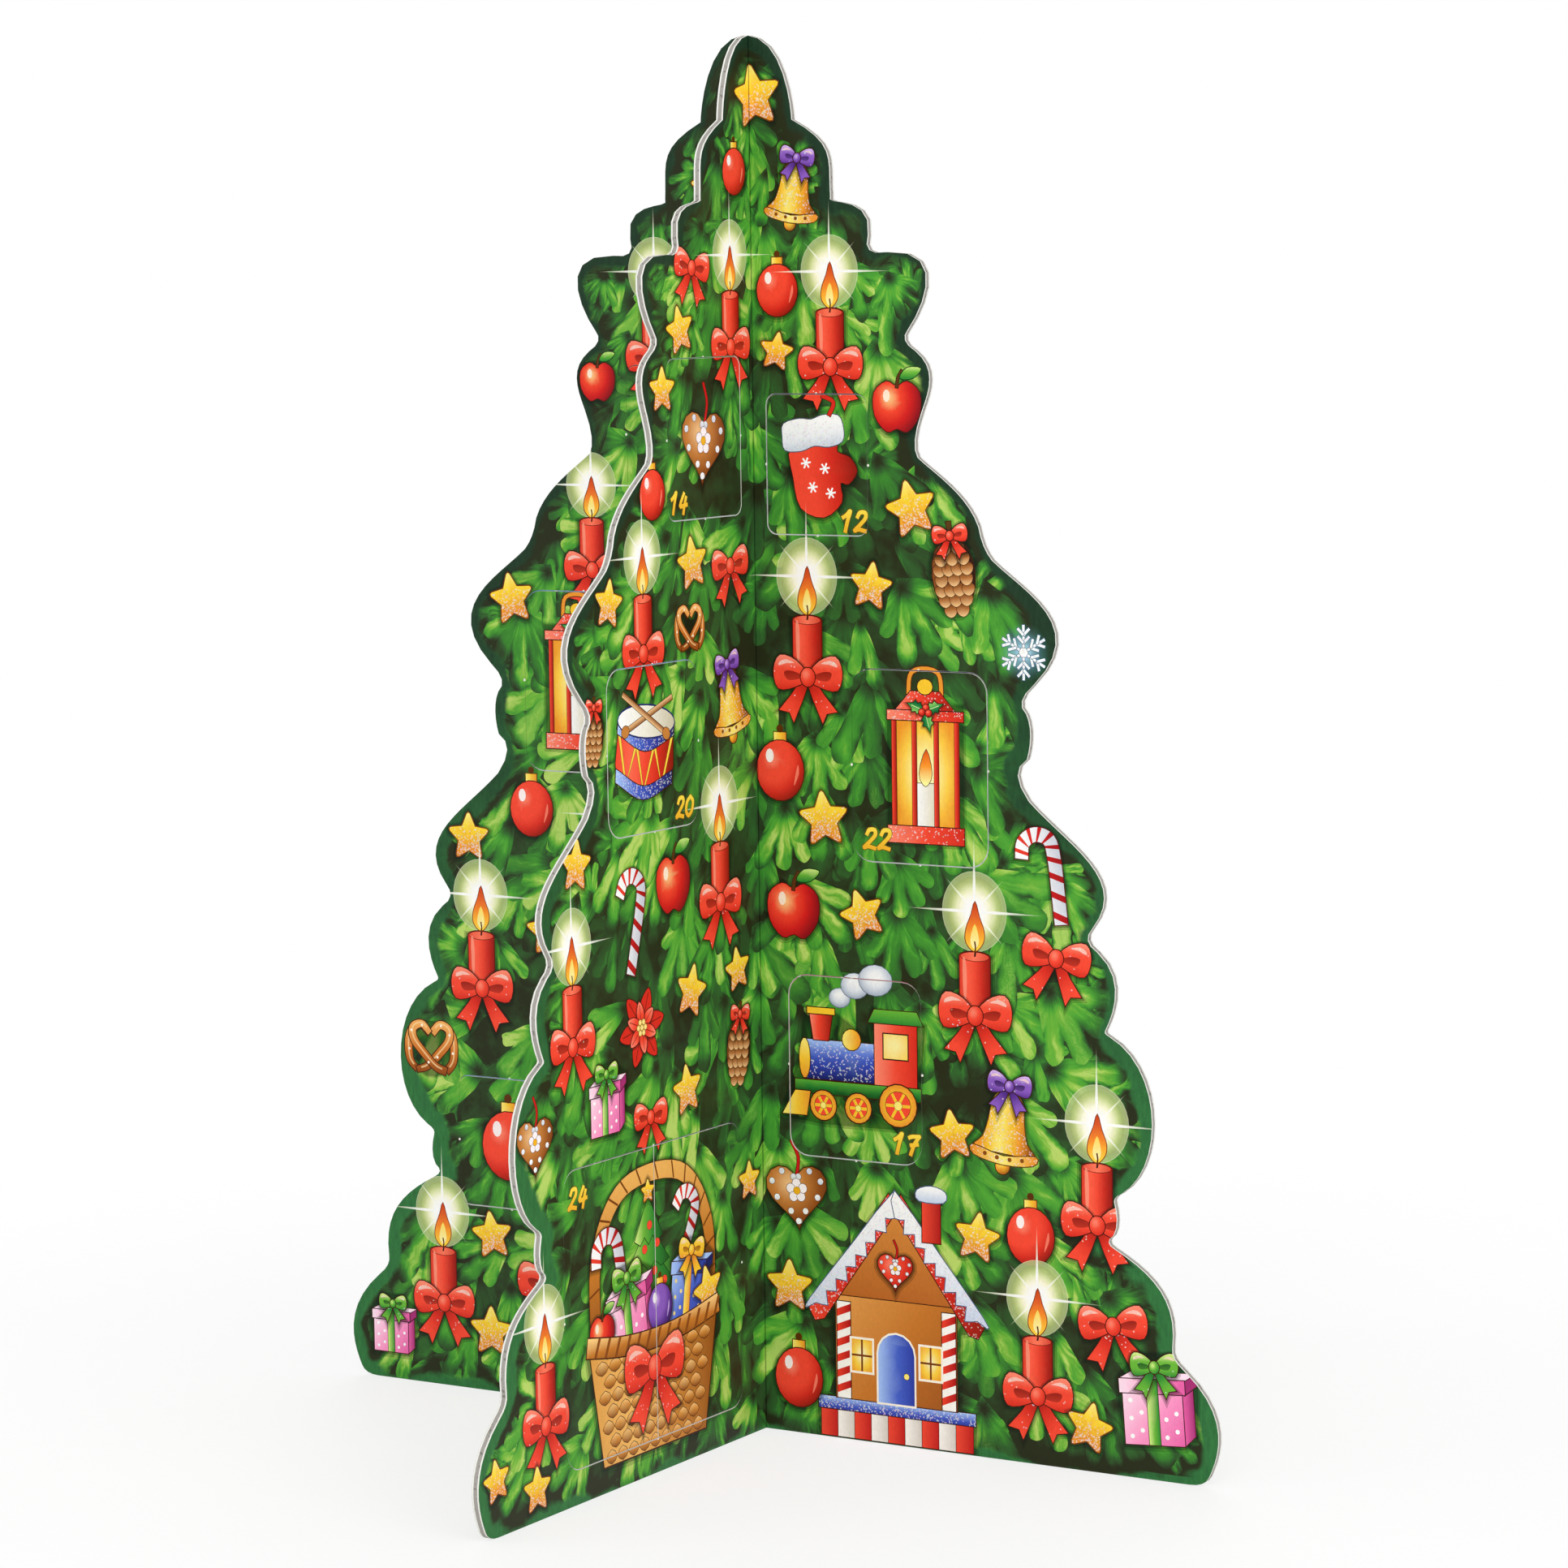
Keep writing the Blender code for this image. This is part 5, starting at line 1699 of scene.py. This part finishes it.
# The floor takes the object's shadow, and away from the object it is seen as plain white.
paper = Maker("studio_floor")
grain = paper.noise(paper.node("TexCoord")[3], 300.0)
floor_mesh.materials.append(paper.finish(colour("fafafa"), grain * 0.1 + 0.85, paper.bump(grain, 0.00005)))
path = paper.node("LightPath")
seen = (path[0] + path[3] + path[6]).clamp()
place = paper.node("SeparateXYZ", (paper.node("TexCoord")[3],))
away = (place[0] * place[0] + place[1] * place[1]).math("SQRT").ramp(0.16, 0.5) * 0.28 + 0.72
white = paper.node("Emission", {"Color": colour("ffffff"), "Strength": 1.0})[0]
surface = paper.node("MixShader", (seen * away, Wire(paper, paper.shader.outputs[0]), white))[0]
paper.join(surface, paper.tree.nodes["Material Output"].inputs["Surface"])


def softbox(name, at, side, power):
    """A square lamp that faces the tree."""
    data = bpy.data.lights.new(name, "AREA")
    data.shape, data.size, data.size_y, data.energy = "RECTANGLE", side, side, power
    ob = bpy.data.objects.new(name, data)
    ob.location = at
    ob.rotation_mode = "QUATERNION"
    ob.rotation_quaternion = (TREE_MIDDLE - Vector(at)).to_track_quat("-Z", "Y")
    scene.collection.objects.link(ob)


# Each lamp's name, place and side in metres, and power in watts
for lamp in (
    ("front_light", (0.9, -2.4, 1.5), 1.6, 25.6), ("right_light", (2.4, -0.9, 1.3), 1.6, 24.6),
    ("left_light", (-2.2, -1.6, 1.2), 1.2, 11.5), ("back_light", (-1.2, 2.2, 1.5), 1.6, 19),
    ("top_light", (0, 0, 2.4), 2.0, 7.8),
):
    softbox(*lamp)

WORLD_STRENGTH = 0.46
world = bpy.data.worlds.new("studio")
scene.world = world
world.use_nodes = True
room, links = world.node_tree.nodes, world.node_tree.links
path = room.new("ShaderNodeLightPath")
lit = room["Background"]
lit.inputs[0].default_value, lit.inputs[1].default_value = (1, 1, 1, 1), WORLD_STRENGTH
backdrop = room.new("ShaderNodeBackground")
backdrop.inputs[0].default_value, backdrop.inputs[1].default_value = (1, 1, 1, 1), 1.0
either = room.new("ShaderNodeMixShader")
share = None
for kind in ("Is Camera Ray", "Is Glossy Ray", "Is Transmission Ray"):
    total = room.new("ShaderNodeMath")
    total.use_clamp = True
    links.new(path.outputs[kind], total.inputs[0])
    if share:
        links.new(share, total.inputs[1])
    else:
        total.inputs[1].default_value = 0.0
    share = total.outputs[0]
links.new(share, either.inputs[0])
links.new(lit.outputs[0], either.inputs[1])
links.new(backdrop.outputs[0], either.inputs[2])
links.new(either.outputs[0], room["World Output"].inputs["Surface"])
